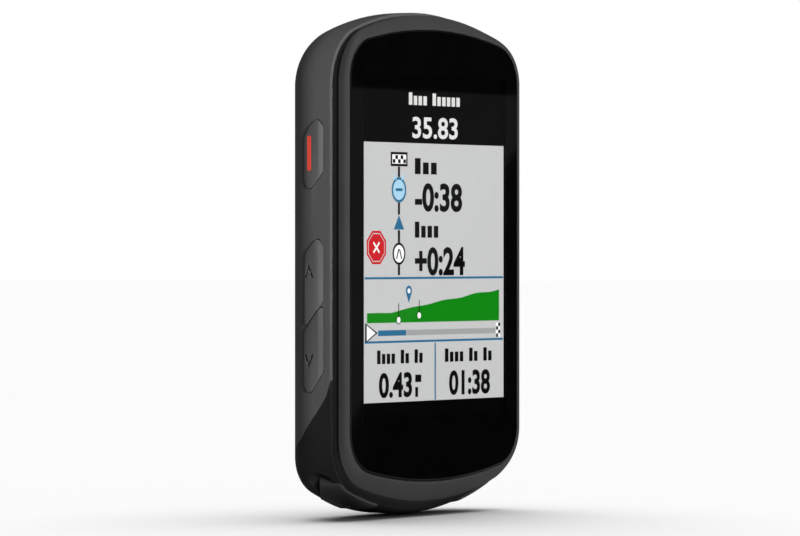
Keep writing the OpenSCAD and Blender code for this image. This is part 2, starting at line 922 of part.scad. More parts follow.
// Chips in the open on the board's back
module board_chips() {
    chips = [[-14, -6, 3, 11, 0.9], [-3, 4, 4, 9, 0.8], [7, 14, 3, 9, 0.7],
             [-13, -9, 13, 17, 0.6], [6, 9, 12, 16, 0.5]];
    color([0.1, 0.1, 0.1])
        for (c = chips) block(c[0], c[1], board_back + 0.01, board_back + c[4], c[2], c[3]);
}

module gps_antenna() {
    color([0.8, 0.72, 0.6])
    {
        block(-6.5, 6.5, board_back + 0.01, board_back + 3, 21.5, 34.5);
        block(-5.8, 5.8, board_back + 3, board_back + 3.1, 22.2, 33.8);
    }
}

module buzzer() {
    color([0.12, 0.12, 0.12])
    difference() {
        rod_y(-12, 23.6, 4.1, board_back + 0.01, board_back + 2.4);
        rod_y(-12, 23.6, 1, board_back + 1.8, board_back + 3);
    }
}

module pressure_sensor() {
    color([0.7, 0.7, 0.72])
        block(vent_at.x - 1.5, vent_at.x + 1.5, board_back + 0.01, board_back + 1.1,
              vent_at.y - 1.5, vent_at.y + 1.5);
}

module vent_membrane() {
    color([0.92, 0.92, 0.92]) rod_y(vent_at.x, vent_at.y, 2.2, cavity_back - 0.3, cavity_back - 0.02);
}

module battery() {
    color([0.7, 0.72, 0.75]) block(-16.5, 16.5, battery_front, battery_back, -25.5, 17.8);
}

module battery_foam() {
    color([0.2, 0.2, 0.22]) block(-13, 13, battery_back + 0.02, cavity_back - 0.05, -21, 14);
}

// Route of one battery wire: out of the cell, over the board and into its plug, as [x, depth, z]
lead_route = [[0, 10.2, 17.81], [0, 10.2, 18.4], [0, 10.3, 19], [0, 10.6, 19.5], [0, 10.8, 20.1],
              [0, 10.7, 20.7], [0, 10.3, 21.1], [0, 9.8, 21.3], [0, 9.2, 21.35], [0, 8.82, 21.35]];
lead_r = 0.4;
lead_sides = 8;

// A ring of points round each point of a route that stays in one X plane
module lead(x) {
    last = len(lead_route) - 1;
    rings = [for (i = [0 : last])
        let (
            along = unit(lead_route[min(i + 1, last)] - lead_route[max(i - 1, 0)]),
            across = [0, -along.z, along.y]
        )
        [for (k = [0 : lead_sides - 1])
            let (a = 360 * k / lead_sides, p = lead_route[i] + lead_r * (cos(a) * [1, 0, 0] + sin(a) * across))
            [p.x + x, dy(p.y), p.z + case_lift]]];
    loft(rings);
}

module battery_lead() {
    color([0.75, 0.1, 0.1])
        for (x = [9.4, 10.6]) lead(x);
}

module battery_connector() {
    color([0.9, 0.88, 0.8]) block(8.4, 11.6, board_back + 0.01, 8.8, 20, 22.6);
}

// Port: a folded metal shell with a tongue inside, open downwards
module usb_connector() {
    shell = 0.25;
    top = -31.9;
    mouth = -36.9;
    color([0.75, 0.75, 0.77])
    {
        difference() {
            block(-3.75, 3.75, board_back + 0.02, 9.45, mouth, top);
            block(-3.75 + shell, 3.75 - shell, board_back + 0.02 + shell, 9.45 - shell, mouth - 1, top - 0.6);
        }
        block(-1.8, 1.8, 7.8, 8.4, -35.6, top - 0.3);
    }
}

lens();
lens_adhesive();
front_bezel();
mid_case();
back_cover();
case_seal();
power_button();
power_button_mark();
up_button();
down_button();
enter_button();
back_button();
lap_button();
start_button();
usb_cover();
mount_insert();
mount_screws();
case_screws();
light_sensor();
display_panel();
backlight();
display_flex();
inner_frame();
main_board();
shield_cans();
board_chips();
board_screws();
gps_antenna();
buzzer();
pressure_sensor();
vent_membrane();
battery();
battery_foam();
battery_lead();
battery_connector();
usb_connector();
left_key_board();
right_key_board();
lap_key_board();
start_key_board();
key_switches();
button_seals();
power_plunger();
up_plunger();
down_plunger();
enter_plunger();
back_plunger();
lap_plunger();
start_plunger();
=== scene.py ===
from math import acos, atan2, cos, dist, hypot, pi, radians, sin, sqrt, tan

import bmesh
import bpy
from mathutils import Matrix, Vector


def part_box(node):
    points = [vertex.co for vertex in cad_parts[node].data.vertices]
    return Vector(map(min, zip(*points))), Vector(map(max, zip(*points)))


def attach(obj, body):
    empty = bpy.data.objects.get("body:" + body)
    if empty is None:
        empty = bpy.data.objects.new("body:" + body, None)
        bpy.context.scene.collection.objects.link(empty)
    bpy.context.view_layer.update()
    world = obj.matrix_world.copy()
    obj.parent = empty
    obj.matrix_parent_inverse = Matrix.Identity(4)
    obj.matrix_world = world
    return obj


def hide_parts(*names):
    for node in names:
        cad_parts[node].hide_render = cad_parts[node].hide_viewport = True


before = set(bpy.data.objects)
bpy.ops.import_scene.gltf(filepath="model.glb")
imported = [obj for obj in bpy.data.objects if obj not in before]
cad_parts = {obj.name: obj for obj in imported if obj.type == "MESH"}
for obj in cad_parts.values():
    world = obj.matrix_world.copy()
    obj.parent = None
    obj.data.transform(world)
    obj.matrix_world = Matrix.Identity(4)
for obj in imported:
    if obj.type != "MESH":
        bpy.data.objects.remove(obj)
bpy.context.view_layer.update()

# Shapes below are worked out in millimetres: x across the case, depth behind the glass's front
# face, and z up from the middle of the case. MM turns them into the frame's metres.
MM = 0.001


def box_mm(node):
    low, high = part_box(node)
    return low / MM, high / MM


# ---- Sizes read from the frame ----

lens_low, lens_high = box_mm("lens")
cover_high = box_mm("back_cover")[1]
case_low = box_mm("mid_case")[0]
insert_high = box_mm("mount_insert")[1]
FRONT_Y = lens_low.y
HALF_W = cover_high.x
HALF_H = (cover_high.z - case_low.z) / 2
MIDDLE_Z = (cover_high.z + case_low.z) / 2
BODY_DEPTH = cover_high.y - FRONT_Y
FULL_DEPTH = insert_high.y - FRONT_Y
GLASS_THICK = lens_high.y - lens_low.y
GLASS_HALF_W = lens_high.x
GLASS_TOP = lens_high.z - MIDDLE_Z
GLASS_BOTTOM = MIDDLE_Z - lens_low.z

# ---- Outline of the case: the same rules as the CAD model's ----

CORNER_STEPS = 18
CROWN_STEPS = 10
SIDE_STEPS = 14
CASE_CORNER = 10
CHIN_CORNER = 9
TOP_CROWN = 56
CHIN_CROWN = 48
GLASS_CROWN = 90
GLASS_CORNER = 6.5
GLASS_RIM_CORNER = 6.8
BROW_RUN = 5
BROW_RISE = 2.5
CHIN_RUN = 9
CHIN_RISE = 5.1
RIM_RUN = 0.9
RIM_INSET = 0.7
EDGE_START = 6.2
CHIN_EDGE_START = 10.5
EDGE_R = 8
EDGE_SWEEP = radians(75)
ARC_END = EDGE_START + EDGE_R * sin(EDGE_SWEEP)
ARC_INSET = EDGE_R * (1 - cos(EDGE_SWEEP))
CROWN_INSET = 21
BEZEL_DEPTH = 1.7
STRIP_INSET = 0.45
COVER_FRONT = 3.2
COVER_BACK = 14.3
COVER_WALL = 1.0
CAVITY_INSET = 3.6
CAVITY_BACK = 12.7
CHIN_WALL = 4.1


def mix(a, b, share):
    return a + (b - a) * share


def lean(depth, run):
    return ((run - depth) / run) ** 4 if depth < run else 0.0


def rim(depth):
    return RIM_INSET * (1 - sqrt(1 - (1 - depth / RIM_RUN) ** 2)) if depth < RIM_RUN else 0.0


def back_inset(depth):
    if depth <= EDGE_START:
        return 0.0
    if depth <= ARC_END:
        return EDGE_R * (1 - sqrt(1 - ((depth - EDGE_START) / EDGE_R) ** 2))
    share = max(BODY_DEPTH - depth, 0) / (BODY_DEPTH - ARC_END)
    return CROWN_INSET - (CROWN_INSET - ARC_INSET) * sqrt(share)


def chin_inset(depth):
    if depth <= CHIN_EDGE_START:
        return 0.0
    stretch = (BODY_DEPTH - EDGE_START) / (BODY_DEPTH - CHIN_EDGE_START)
    return back_inset(EDGE_START + (depth - CHIN_EDGE_START) * stretch)


def quarter(wide, reach, corner, crown):
    """Right-hand upper quarter: the corner's arc, then half of the crown's arc."""
    turn_z = reach - crown + sqrt((crown - corner) ** 2 - (wide - corner) ** 2)
    turn = atan2(turn_z - reach + crown, wide - corner)
    points = []
    for i in range(CORNER_STEPS + 1):
        a = turn * i / CORNER_STEPS
        points.append((wide - corner + corner * cos(a), turn_z + corner * sin(a)))
    for i in range(1, CROWN_STEPS + 1):
        a = turn + (pi / 2 - turn) * i / CROWN_STEPS
        points.append((crown * cos(a), reach - crown + crown * sin(a)))
    return points


def side(low, high):
    """Points up a straight side, without its two ends."""
    return [(low[0], mix(low[1], high[1], i / SIDE_STEPS)) for i in range(1, SIDE_STEPS)]


def outline(wide, tops, bottoms):
    """Closed outline, counter-clockwise from the front, starting where the right-hand side ends."""
    up = quarter(wide, *tops)
    down = [(x, -z) for x, z in quarter(wide, *bottoms)]
    left_up = [(-x, z) for x, z in up]
    left_down = [(-x, z) for x, z in down]
    points = up + left_up[-2::-1] + side(left_up[0], left_down[0])
    return points + left_down + down[-2::-1] + side(down[0], up[0])


def glass_outline(inset):
    return outline(GLASS_HALF_W - inset,
                   (GLASS_TOP - inset, GLASS_CORNER - inset, GLASS_CROWN - inset),
                   (GLASS_BOTTOM - inset, GLASS_CORNER - inset, GLASS_CROWN - inset))


def case_outline(depth, inset=0.0, chin_extra=0.0):
    brow = lean(depth, BROW_RUN)
    chin = lean(depth, CHIN_RUN)
    edge = back_inset(depth) + inset
    chin_edge = chin_inset(depth) + inset + chin_extra
    return outline(HALF_W - edge - rim(depth),
                   (HALF_H - BROW_RISE * brow - edge,
                    max(mix(CASE_CORNER, GLASS_RIM_CORNER, brow) - edge, 1),
                    mix(TOP_CROWN, GLASS_CROWN, brow) - edge),
                   (HALF_H - CHIN_RISE * chin - chin_edge,
                    max(mix(CHIN_CORNER, GLASS_RIM_CORNER, chin) - edge, 1),
                    mix(CHIN_CROWN, GLASS_CROWN, chin) - chin_edge))


# ---- Mesh helpers ----


def place(x, depth, z):
    """A point in the shapes' own millimetres, as a vector in the frame's metres."""
    return Vector((x, FRONT_Y + depth, z + MIDDLE_Z)) * MM


def make_object(name, data):
    obj = bpy.data.objects.new(name, data)
    bpy.context.scene.collection.objects.link(obj)
    return obj


def edit(mesh, change):
    """Runs a change on the mesh's editable form."""
    bm = bmesh.new()
    bm.from_mesh(mesh)
    change(bm)
    bm.to_mesh(mesh)
    bm.free()


def turn_out(bm):
    bmesh.ops.recalc_face_normals(bm, faces=bm.faces)


def build(name, points, faces):
    mesh = bpy.data.meshes.new(name)
    mesh.from_pydata([tuple(p) for p in points], [], faces)
    edit(mesh, turn_out)
    return make_object(name, mesh)


def ring_faces(count, k, j):
    return [(k * count + i, k * count + (i + 1) % count, j * count + (i + 1) % count, j * count + i)
            for i in range(count)]


def loft(rings, name="tool"):
    """Solid through rings of points, with a flat cap at each end."""
    count = len(rings[0])
    faces = []
    for k in range(len(rings) - 1):
        faces += ring_faces(count, k, k + 1)
    faces.append(tuple(range(count)))
    faces.append(tuple((len(rings) - 1) * count + i for i in range(count)))
    return build(name, [p for ring in rings for p in ring], faces)


def ring_at(depth, points):
    return [place(x, depth, z) for x, z in points]


def case_rings(depths, inset=0.0, chin_extra=0.0):
    return [ring_at(d, case_outline(d, inset, chin_extra)) for d in depths]


def prism_y(points, front, back, name="tool"):
    """A flat shape in x and z, solid between two depths."""
    return loft([ring_at(front, points), ring_at(back, points)], name)


def prism_x(points, x0, x1, name="tool"):
    """A flat shape in depth and z, solid between two x."""
    return loft([[place(x, d, z) for d, z in points] for x in (x0, x1)], name)


def circle(cx, cz, r, steps=48):
    return [(cx + r * cos(2 * pi * i / steps), cz + r * sin(2 * pi * i / steps))
            for i in range(steps)]


def polar(r, degrees, x=0.0, z=0.0):
    """A point at a distance and an angle from a centre."""
    a = radians(degrees)
    return x + r * cos(a), z + r * sin(a)


def rod_y(x, z, r, front, back, steps=48):
    return prism_y(circle(x, z, r, steps), front, back)


def rod_x(depth, z, r, x0, x1):
    return prism_x(circle(depth, z, r), x0, x1)


def rectangle(x0, x1, z0, z1):
    return [(x0, z0), (x1, z0), (x1, z1), (x0, z1)]


def block(x0, x1, front, back, z0, z1, name="tool"):
    return prism_y(rectangle(x0, x1, z0, z1), front, back, name)


def combine(target, tool, operation):
    """Boolean of two closed meshes, applied to the target. The tool is used up."""
    modifier = target.modifiers.new("combine", "BOOLEAN")
    modifier.operation = operation
    modifier.object = tool
    modifier.solver = "MANIFOLD"
    apply_modifiers(target)
    bpy.data.objects.remove(tool)
    return target


def cut(target, *tools):
    for tool in tools:
        combine(target, tool, "DIFFERENCE")
    return target


def add(target, tool):
    return combine(target, tool, "UNION")


def keep(target, tool):
    return combine(target, tool, "INTERSECT")


def apply_modifiers(obj):
    graph = bpy.context.evaluated_depsgraph_get()
    mesh = bpy.data.meshes.new_from_object(obj.evaluated_get(graph))
    obj.modifiers.clear()
    obj.data = mesh


def soften(obj, width, angle=40, segments=3):
    """Rounds the sharp edges of a piece."""
    bevel = obj.modifiers.new("soften", "BEVEL")
    bevel.width = width * MM
    bevel.segments = segments
    bevel.limit_method = "ANGLE"
    bevel.angle_limit = radians(angle)
    apply_modifiers(obj)
    return obj


def shade(obj, angle=32):
    """Smooth shading, with the edges sharper than the angle kept crisp."""
    def smooth(bm):
        for face in bm.faces:
            face.smooth = True
        for edge in bm.edges:
            edge.smooth = len(edge.link_faces) == 2 and edge.calc_face_angle(0) < radians(angle)

    edit(obj.data, smooth)
    return obj


def unit2(a, b):
    length = hypot(b[0] - a[0], b[1] - a[1])
    return ((b[0] - a[0]) / length, (b[1] - a[1]) / length)


def grow(points, by):
    """A counter-clockwise outline moved outwards."""
    out = []
    for i, p in enumerate(points):
        a = unit2(points[i - 1], p)
        b = unit2(p, points[(i + 1) % len(points)])
        na, nb = (a[1], -a[0]), (b[1], -b[0])
        k = by / (1 + na[0] * nb[0] + na[1] * nb[1])
        out.append((p[0] + k * (na[0] + nb[0]), p[1] + k * (na[1] + nb[1])))
    return out


def round_corners(points, radii, steps=6):
    """A counter-clockwise outline with each corner turned into an arc.

    radii is one number, or one for each corner."""
    out = []
    count = len(points)
    for i, p in enumerate(points):
        r = radii if isinstance(radii, (int, float)) else radii[i]
        before, after = points[i - 1], points[(i + 1) % count]
        a, b = unit2(p, before), unit2(p, after)
        half = acos(max(-1, min(1, a[0] * b[0] + a[1] * b[1]))) / 2
        reach = min(r / tan(half), 0.48 * dist(p, before), 0.48 * dist(p, after))
        r = reach * tan(half)
        bisector = (a[0] + b[0], a[1] + b[1])
        size = hypot(*bisector)
        far = r / sin(half)
        centre = (p[0] + bisector[0] / size * far, p[1] + bisector[1] / size * far)
        start = atan2(p[1] + a[1] * reach - centre[1], p[0] + a[0] * reach - centre[0])
        turn = pi - 2 * half
        cross = a[0] * b[1] - a[1] * b[0]
        sign = 1 if cross < 0 else -1
        for k in range(steps + 1):
            t = start + sign * turn * k / steps
            out.append((centre[0] + r * cos(t), centre[1] + r * sin(t)))
    return out


# ---- Finishes ----

STREAK = 14
GRAIN_STRENGTH = 0.35
SPECK_SHARE = 0.35
CELL = 0.3
CELL_GAP = 0.012
SCREEN_SHADOW = 0.75


class Graph:
    """A node tree, with short ways to add a node and to set or link what goes into it."""

    def __init__(self, tree):
        self.nodes, self.links = tree.nodes, tree.links
        self.nodes.clear()

    def put(self, socket, value):
        if isinstance(value, bpy.types.NodeSocket):
            self.links.new(value, socket)
        elif isinstance(value, tuple) and len(socket.default_value) == 4:
            socket.default_value = (*value, 1)
        else:
            socket.default_value = value

    def add(self, kind, **values):
        """Adds a node. Each value goes into the input of its name, with _ for a space."""
        node = self.nodes.new("ShaderNode" + kind)
        for name, value in values.items():
            self.put(node.inputs[name.replace("_", " ")], value)
        return node

    def surface(self, node, kind="OutputMaterial"):
        self.add(kind, Surface=node.outputs[0])

    def coordinates(self):
        return self.add("TexCoord").outputs["Object"]

    def noise(self, coordinates, scale, detail=3.0):
        node = self.add("TexNoise", Vector=coordinates, Scale=scale, Detail=detail, Roughness=0.55)
        return node.outputs["Fac"]

    def spread(self, value, low, high, from_low=0.3, from_high=0.7):
        """Maps the middle of a noise's range, or another range, onto low to high."""
        node = self.add("MapRange", Value=value, From_Min=from_low, From_Max=from_high, To_Min=low,
                        To_Max=high)
        return node.outputs["Result"]

    def mix(self, share, a, b):
        node = self.add("Mix")
        node.data_type = "RGBA"
        for socket, value in ((0, share), (6, a), (7, b)):
            self.put(node.inputs[socket], value)
        return node.outputs[2]

    def maths(self, operation, a, b):
        node = self.add("Math")
        node.operation = operation
        self.put(node.inputs[0], a)
        self.put(node.inputs[1], b)
        return node.outputs["Value"]


def new_material(name):
    material = bpy.data.materials.new(name)
    material.use_nodes = True
    return material, Graph(material.node_tree)


def finish_of(name, colour, rough=0.5, mottle=0.12, grain=3500, grain_depth=0.004, swirl=160,
              rough_spread=0.08, wear=0.15, metallic=0.0, specular=0.5, coat=0.0, glow=0.0, streaks=False):
    """A finish with mottled colour, fine grain, uneven roughness and slightly polished edges. A glow paints
    light: the surface shines faintly in its own colour, though it is no lamp.
    """
    material, graph = new_material(name + "_finish")
    coordinates = graph.coordinates()
    if streaks:
        coordinates = graph.add("Mapping", Vector=coordinates, Scale=(1, 1, STREAK)).outputs["Vector"]
    broad = graph.noise(coordinates, swirl)
    fine = graph.noise(coordinates, grain, 2.0)
    darker = tuple(c * (1 - mottle) for c in colour)
    lighter = tuple(min(c * (1 + mottle), 1) for c in colour)
    polished = tuple(min(c * 1.8 + 0.02, 1) for c in colour)
    body = graph.mix(graph.spread(broad, 0, 1), darker, lighter)
    speck = graph.mix(graph.spread(fine, 0, SPECK_SHARE), body, lighter)
    worn = graph.spread(graph.add("NewGeometry").outputs["Pointiness"], 0, wear, 0.52, 0.6)
    bump = graph.add("Bump", Strength=GRAIN_STRENGTH, Distance=grain_depth * MM, Height=fine)
    shader = graph.add("BsdfPrincipled", Base_Color=graph.mix(worn, speck, polished),
                       Roughness=graph.spread(broad, rough - rough_spread, rough + rough_spread),
                       Normal=bump.outputs["Normal"], Metallic=metallic, Specular_IOR_Level=specular,
                       Coat_Weight=coat)
    # painted light: a faint emission in the finish's own colour
    if glow:
        graph.put(shader.inputs["Emission Color"], speck)
        shader.inputs["Emission Strength"].default_value = glow
    graph.surface(shader)
    return material


def clear_glass(name):
    """Glass that lets straight light through and mirrors more of it at a slant."""
    material, graph = new_material(name)
    coordinates = graph.coordinates()
    smear = graph.noise(coordinates, 60, 5.0)
    dust = graph.noise(coordinates, 2200, 1.0)
    tint = graph.mix(graph.spread(dust, 0, 1), (1, 1, 1), (0.985, 0.988, 0.985))
    through = graph.add("BsdfTransparent", Color=tint)
    mirror = graph.add("BsdfGlossy", Roughness=graph.spread(smear, 0.01, 0.05))
    outside = graph.maths("SUBTRACT", 1, graph.add("NewGeometry").outputs["Backfacing"])
    share = graph.maths("MULTIPLY", graph.add("Fresnel", IOR=1.5).outputs["Fac"], outside)
    mixed = graph.add("MixShader", Fac=share)
    graph.put(mixed.inputs[1], through.outputs["BSDF"])
    graph.put(mixed.inputs[2], mirror.outputs["BSDF"])
    graph.surface(mixed)
    return material


def screen_finish(name, colour, glow):
    """A lit screen colour with the faint grid of its picture cells."""
    material, graph = new_material(name)
    coordinates = graph.coordinates()
    turned = graph.add("Mapping", Vector=coordinates, Rotation=(pi / 2, 0, 0))
    cells = graph.add("TexBrick", Vector=turned.outputs["Vector"], Scale=1, Brick_Width=CELL * MM,
                      Row_Height=CELL * MM, Mortar_Size=CELL_GAP * MM, Color1=colour,
                      Color2=tuple(c * 0.985 for c in colour), Mortar=tuple(c * 0.93 for c in colour))
    cells.offset = 0
    cloud = graph.noise(coordinates, 45)
    tone = graph.mix(graph.spread(cloud, 0, 0.3), cells.outputs["Color"], tuple(c * 0.97 for c in colour))
    unlit = graph.add("Value").outputs["Value"]
    unlit.default_value = SCREEN_SHADOW
    shader = graph.add("BsdfPrincipled", Base_Color=graph.mix(unlit, tone, (0.0, 0.0, 0.0)),
                       Roughness=graph.spread(cloud, 0.45, 0.6), Emission_Color=tone,
                       Emission_Strength=glow, Specular_IOR_Level=0.1)
    graph.surface(shader)
    return material


bezel_finish = finish_of("bezel", (0.037, 0.037, 0.0385), rough=0.42, mottle=0.06, specular=0.15)
case_finish = finish_of("case", (0.014, 0.014, 0.0145), rough=0.5, specular=0.08)
cover_finish = finish_of("cover", (0.075, 0.075, 0.077), rough=0.5, mottle=0.05, specular=0.15)
button_finish = finish_of("button", (0.08, 0.08, 0.082), rough=0.5, mottle=0.06, specular=0.2)
chin_button_finish = finish_of("chin_button", (0.03, 0.03, 0.031), rough=0.5, specular=0.15)
flap_finish = finish_of("flap", (0.018, 0.018, 0.019), rough=0.65, specular=0.3)
# the red inlay is plain plastic; its glow is painted light that makes it shine brighter than the lamps alone
# make it
red_finish = finish_of("red", (0.62, 0.05, 0.03), rough=0.4, mottle=0.06, glow=0.15)
insert_finish = finish_of("insert", (0.03, 0.03, 0.032), rough=0.45, mottle=0.1)
black_glass = finish_of("black_glass", (0.0012, 0.0012, 0.0013), rough=0.06, rough_spread=0.02, wear=0,
                        mottle=0.3, grain_depth=0.0)
glass_finish = clear_glass("glass_finish")


def wear_finish(obj, *materials):
    obj.data.materials.clear()
    for material in materials:
        obj.data.materials.append(material)
    return obj


def piece(obj, body, finish, slot_name, *nodes, angle=32):
    """Shades a finished mesh, gives it its finish, and makes it ride on its body in place of CAD nodes."""
    shade(obj, angle)
    if finish is not None:
        wear_finish(obj, finish)
    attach(obj, body)
    if nodes:
        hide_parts(*nodes)
    return obj


# ---- Glass and front bezel ----

LEDGE = GLASS_THICK + 0.15
SCREEN_HALF_W = 20.7
SCREEN_LOW = -25.4
SCREEN_HIGH = 30.7
SENSOR = (-9.6, 32.1)
CORNER_POINTS = [(16.5, 32.6), (-16.5, 32.6), (18.6, -27.5), (-18.6, -27.5)]
PILLAR_BACK = 10.6
SCREW_SEAT = 9.4
PICTURE_DEPTH = 0.22
PANE_MARGIN = 0.3
PANE_GAP = 0.03
RIB_OUT = CAVITY_INSET + 0.1
RIB_IN = CAVITY_INSET + 0.6
POST_R = 1.7
POST_BORE_R = 0.8
SENSOR_HOLE_R = 0.85


def screen_shape(inset):
    return rectangle(inset - SCREEN_HALF_W, SCREEN_HALF_W - inset, SCREEN_LOW + inset, SCREEN_HIGH - inset)


def make_lens():
    """Black-printed glass with a clear window, hollowed so that the picture sits near its front."""
    layers = [(0.28, 0.0), (0.16, 0.02), (0.07, 0.08), (0.015, 0.18), (0.0, 0.3), (0.0, 0.33)]
    rings = [ring_at(d, glass_outline(inset)) for d, inset in layers]
    lens = loft([ring_at(GLASS_THICK, glass_outline(0))] + rings, "lens")
    window = screen_shape(PANE_MARGIN)
    shade(lens, 60)
    wear_finish(lens, black_glass)
    pane = prism_y(window, 0.0, PICTURE_DEPTH - PANE_GAP, "lens_window")
    cut(lens, prism_y(window, -1, 2))
    shade(pane)
    return lens, pane


def make_bezel():
    profile = [(LEDGE, -0.05), (0.3, -0.05), (0.14, -0.06), (0.06, -0.12), (0.025, -0.22)]
    rings = [ring_at(d, glass_outline(inset)) for d, inset in profile]
    depths = [0.02, 0.04, 0.08, 0.14, 0.22, 0.32, 0.45, 0.6, 0.75, 0.9, 1.1, 1.3, 1.5, 1.62]
    rings += case_rings(depths) + case_rings([BEZEL_DEPTH], 0.06)
    bezel = loft(rings, "front_bezel")
    chin_extra = CHIN_WALL - CAVITY_INSET
    rib = prism_y(case_outline(BEZEL_DEPTH, RIB_OUT, chin_extra), BEZEL_DEPTH - 0.2, BEZEL_DEPTH + 1)
    cut(rib, prism_y(case_outline(BEZEL_DEPTH, RIB_IN, chin_extra), BEZEL_DEPTH - 1, BEZEL_DEPTH + 2))
    add(bezel, rib)
    for x, z in CORNER_POINTS:
        add(bezel, rod_y(x, z, POST_R, BEZEL_DEPTH - 0.2, 4))
        cut(bezel, rod_y(x, z, POST_BORE_R, BEZEL_DEPTH + 0.3, 5))
    return cut(bezel, prism_y(screen_shape(0), 0.5, 6), rod_y(*SENSOR, SENSOR_HOLE_R, 0.5, 6))


# ---- Case and back cover ----

SKIN_DEPTHS = [3.32] + [3.6 + 0.4 * i for i in range(22)]
SKIN_DEPTHS += [12.35, 12.7, 13.0, 13.3, 13.6, ARC_END, 14.1, 14.35, 14.6, 14.85, 15.1, 15.3, 15.5,
                15.65, 15.78, 15.88, 15.95, 15.985]
STRIP_DEPTH = BEZEL_DEPTH + 0.02
SEAT_GAP = 0.05
CHIN_STRIP = -0.4
COVER_LOW = -29.5
COVER_SIDE = [(COVER_FRONT, -18.4), (4.1, -21.1), (6.2, -24), (9.6, -28), (11.5, COVER_LOW),
              (17, COVER_LOW), (17, 45), (COVER_FRONT, 45)]
FLAP_HALF_W = 5.5
FLAP_FRONT = 6
FLAP_PIVOT = (12.5, -37.9)
FLAP_BARREL_R = 0.8
INSERT_FLOOR = 14.9
BOSS_R = 12.3
BOSS_LEAD = 1.5
BOSS_LEAD_DEPTH = 1.6
BOSS_STEPS = 128
WING_R = 15.3
WING_THICK = 1.9
HEAD_DEEP = 2.2
HEAD_R = 1.7
BASE_RIM = 1.1
MOUNT_Z = -6
MOUNT_SCREWS = [polar(8.6, a, 0, MOUNT_Z) for a in (45, 135, 225, 315)]
MOUNT_PILOT_R = 0.82
SCREW_HOLE_R = 0.85
SCREW_HEAD_R = 1.65
PILLAR_R = 2.2
PILLAR_FRONT = 4.9
SEAL_GROOVE = (1.35, 2.25)
SEAL_GROOVE_DEEP = 0.62
VENT = (11, 25.5)
VENT_R = 0.9
VENT_HOLE_R = 0.45
VENT_STEP = 1.6
SIDE_WALL = 1.3
LIP = 0.22
SOCKET_HALF_W = 4.3
SOCKET_FRONT = 6.5
SOCKET_BACK = 9.75
FLAP_ROOM = FLAP_HALF_W + 0.2
TETHER_BORE = (12.9, -33)
TETHER_BORE_R = 0.9
TETHER_HOLE_X = (1.6, 4.8)
TETHER_HOLE_Z = (-35.2, -31)
TETHER_HOLE_FRONT = 11.2


def skin(name, lip=0.0):
    """The outer skin. lip eases the edge where it steps out behind the dark strip."""
    rings = case_rings([STRIP_DEPTH], STRIP_INSET + 0.05, CHIN_STRIP)
    rings += case_rings([STRIP_DEPTH + 0.05, 2.2, 2.7, COVER_FRONT - SEAT_GAP], STRIP_INSET, CHIN_STRIP)
    if lip:
        for a in (0, pi / 8, pi / 4, 3 * pi / 8):
            rings.append(ring_at(COVER_FRONT + lip * (1 - cos(a)),
                                 case_outline(COVER_FRONT, lip * (1 - sin(a)))))
    depths = [d for d in SKIN_DEPTHS if d > COVER_FRONT + lip + 0.05]
    return loft(rings + case_rings([COVER_FRONT + lip, *depths, BODY_DEPTH]), name)


def cover_region(by):
    return prism_x(grow(COVER_SIDE, by), -30, 30)


def under_cover(inset, back):
    depths = [2.6, 6, 7.5, 9, 10, 11, 11.8, 12.6, 13.1, 13.6]
    return loft(case_rings(depths + [back], inset))


def cavity_outline(depth):
    inset = max(CAVITY_INSET - back_inset(depth), COVER_WALL + SEAT_GAP + SIDE_WALL)
    return case_outline(depth, inset, CHIN_WALL - inset)


def cavity(*depths):
    return loft([ring_at(d, cavity_outline(d)) for d in depths])


def cavity_tools():
    front = cavity(BEZEL_DEPTH - 0.1, 3.2, 5, 8.5, PILLAR_BACK)
    back = cavity(PILLAR_BACK - 0.01, 11.8, CAVITY_BACK)
    keep(back, block(-25, 25, 5, 14, -28.5, 41))
    return front, back


# Side keys: each outline is in depth and height, then come its corner radii and the stem's height
POWER_SHAPE = [(5.6, 23.3), (4.65, 21.7), (4.65, 14.7), (7.6, 11.5), (8.4, 13.4), (8.4, 20), (7.4, 21.7)]
UP_SHAPE = [(5.6, 4.3), (4.65, 2.6), (4.65, -5.95), (8.4, -10.35), (8.25, 1.5)]
DOWN_SHAPE = [(4.65, -6.4), (4.65, -17.2), (7.4, -21), (8.5, -19.3), (8.4, -10.8)]
POWER = (POWER_SHAPE, [0.9, 1.2, 1.5, 0.8, 1.2, 2.0, 2.0], 17.6)
UPPER = (UP_SHAPE, [1.0, 1.2, 0.5, 0.35, 2.0], -2.6)
LOWER = (DOWN_SHAPE, [0.35, 1.6, 0.8, 1.3, 0.5], -14)
KEY_DEPTH = 6.6
PROUD = 0.3
GAP = 0.15
STEM_R = 1.2
STEM_GAP = 0.05
FLANGE_OUT = HALF_W - 1.65
FLANGE_IN = HALF_W - 2.05
KEY_FLOOR = HALF_W - 2.65
SEAL_OUT = HALF_W - 3.15
STEM_IN = HALF_W - 4.2
KEY_SPREAD = 0.45
KEY_CLEAR = 0.5
KEY_ROOM = 0.6
KEY_EASE = 0.12
FACET = 0.42
FACET_FRONT = 4.6
FACET_BACK = 5.45
SEAL_ROOM_R = STEM_R + 0.75
OUTSIDE = HALF_W + 2
SIDE_KEYS = [(-1, *POWER), (-1, *UPPER), (-1, *LOWER), (1, *UPPER), (1, *LOWER)]


def side_prism(hand, points, inner, outer, name="tool"):
    return prism_x(points, *sorted((hand * inner, hand * outer)), name)


def side_rod(hand, z, r, inner, outer):
    return rod_x(KEY_DEPTH, z, r, *sorted((hand * inner, hand * outer)))


def side_band(hand, outer, inner, facet=0.0):
    """Everything from a side key's outer face inwards. facet slopes its front edge away."""
    front = [(outer - facet, FACET_FRONT), (outer, FACET_BACK)] if facet else [(outer, 3)]
    depths = [EDGE_START + 0.25 * i for i in range(17)]
    points = [(d, x) for x, d in front] + [(d, outer - back_inset(d)) for d in depths]
    points += [(10, inner), (front[0][1], inner)]
    return loft([[place(hand * x, d, z) for d, x in points] for z in (-30, 40)])


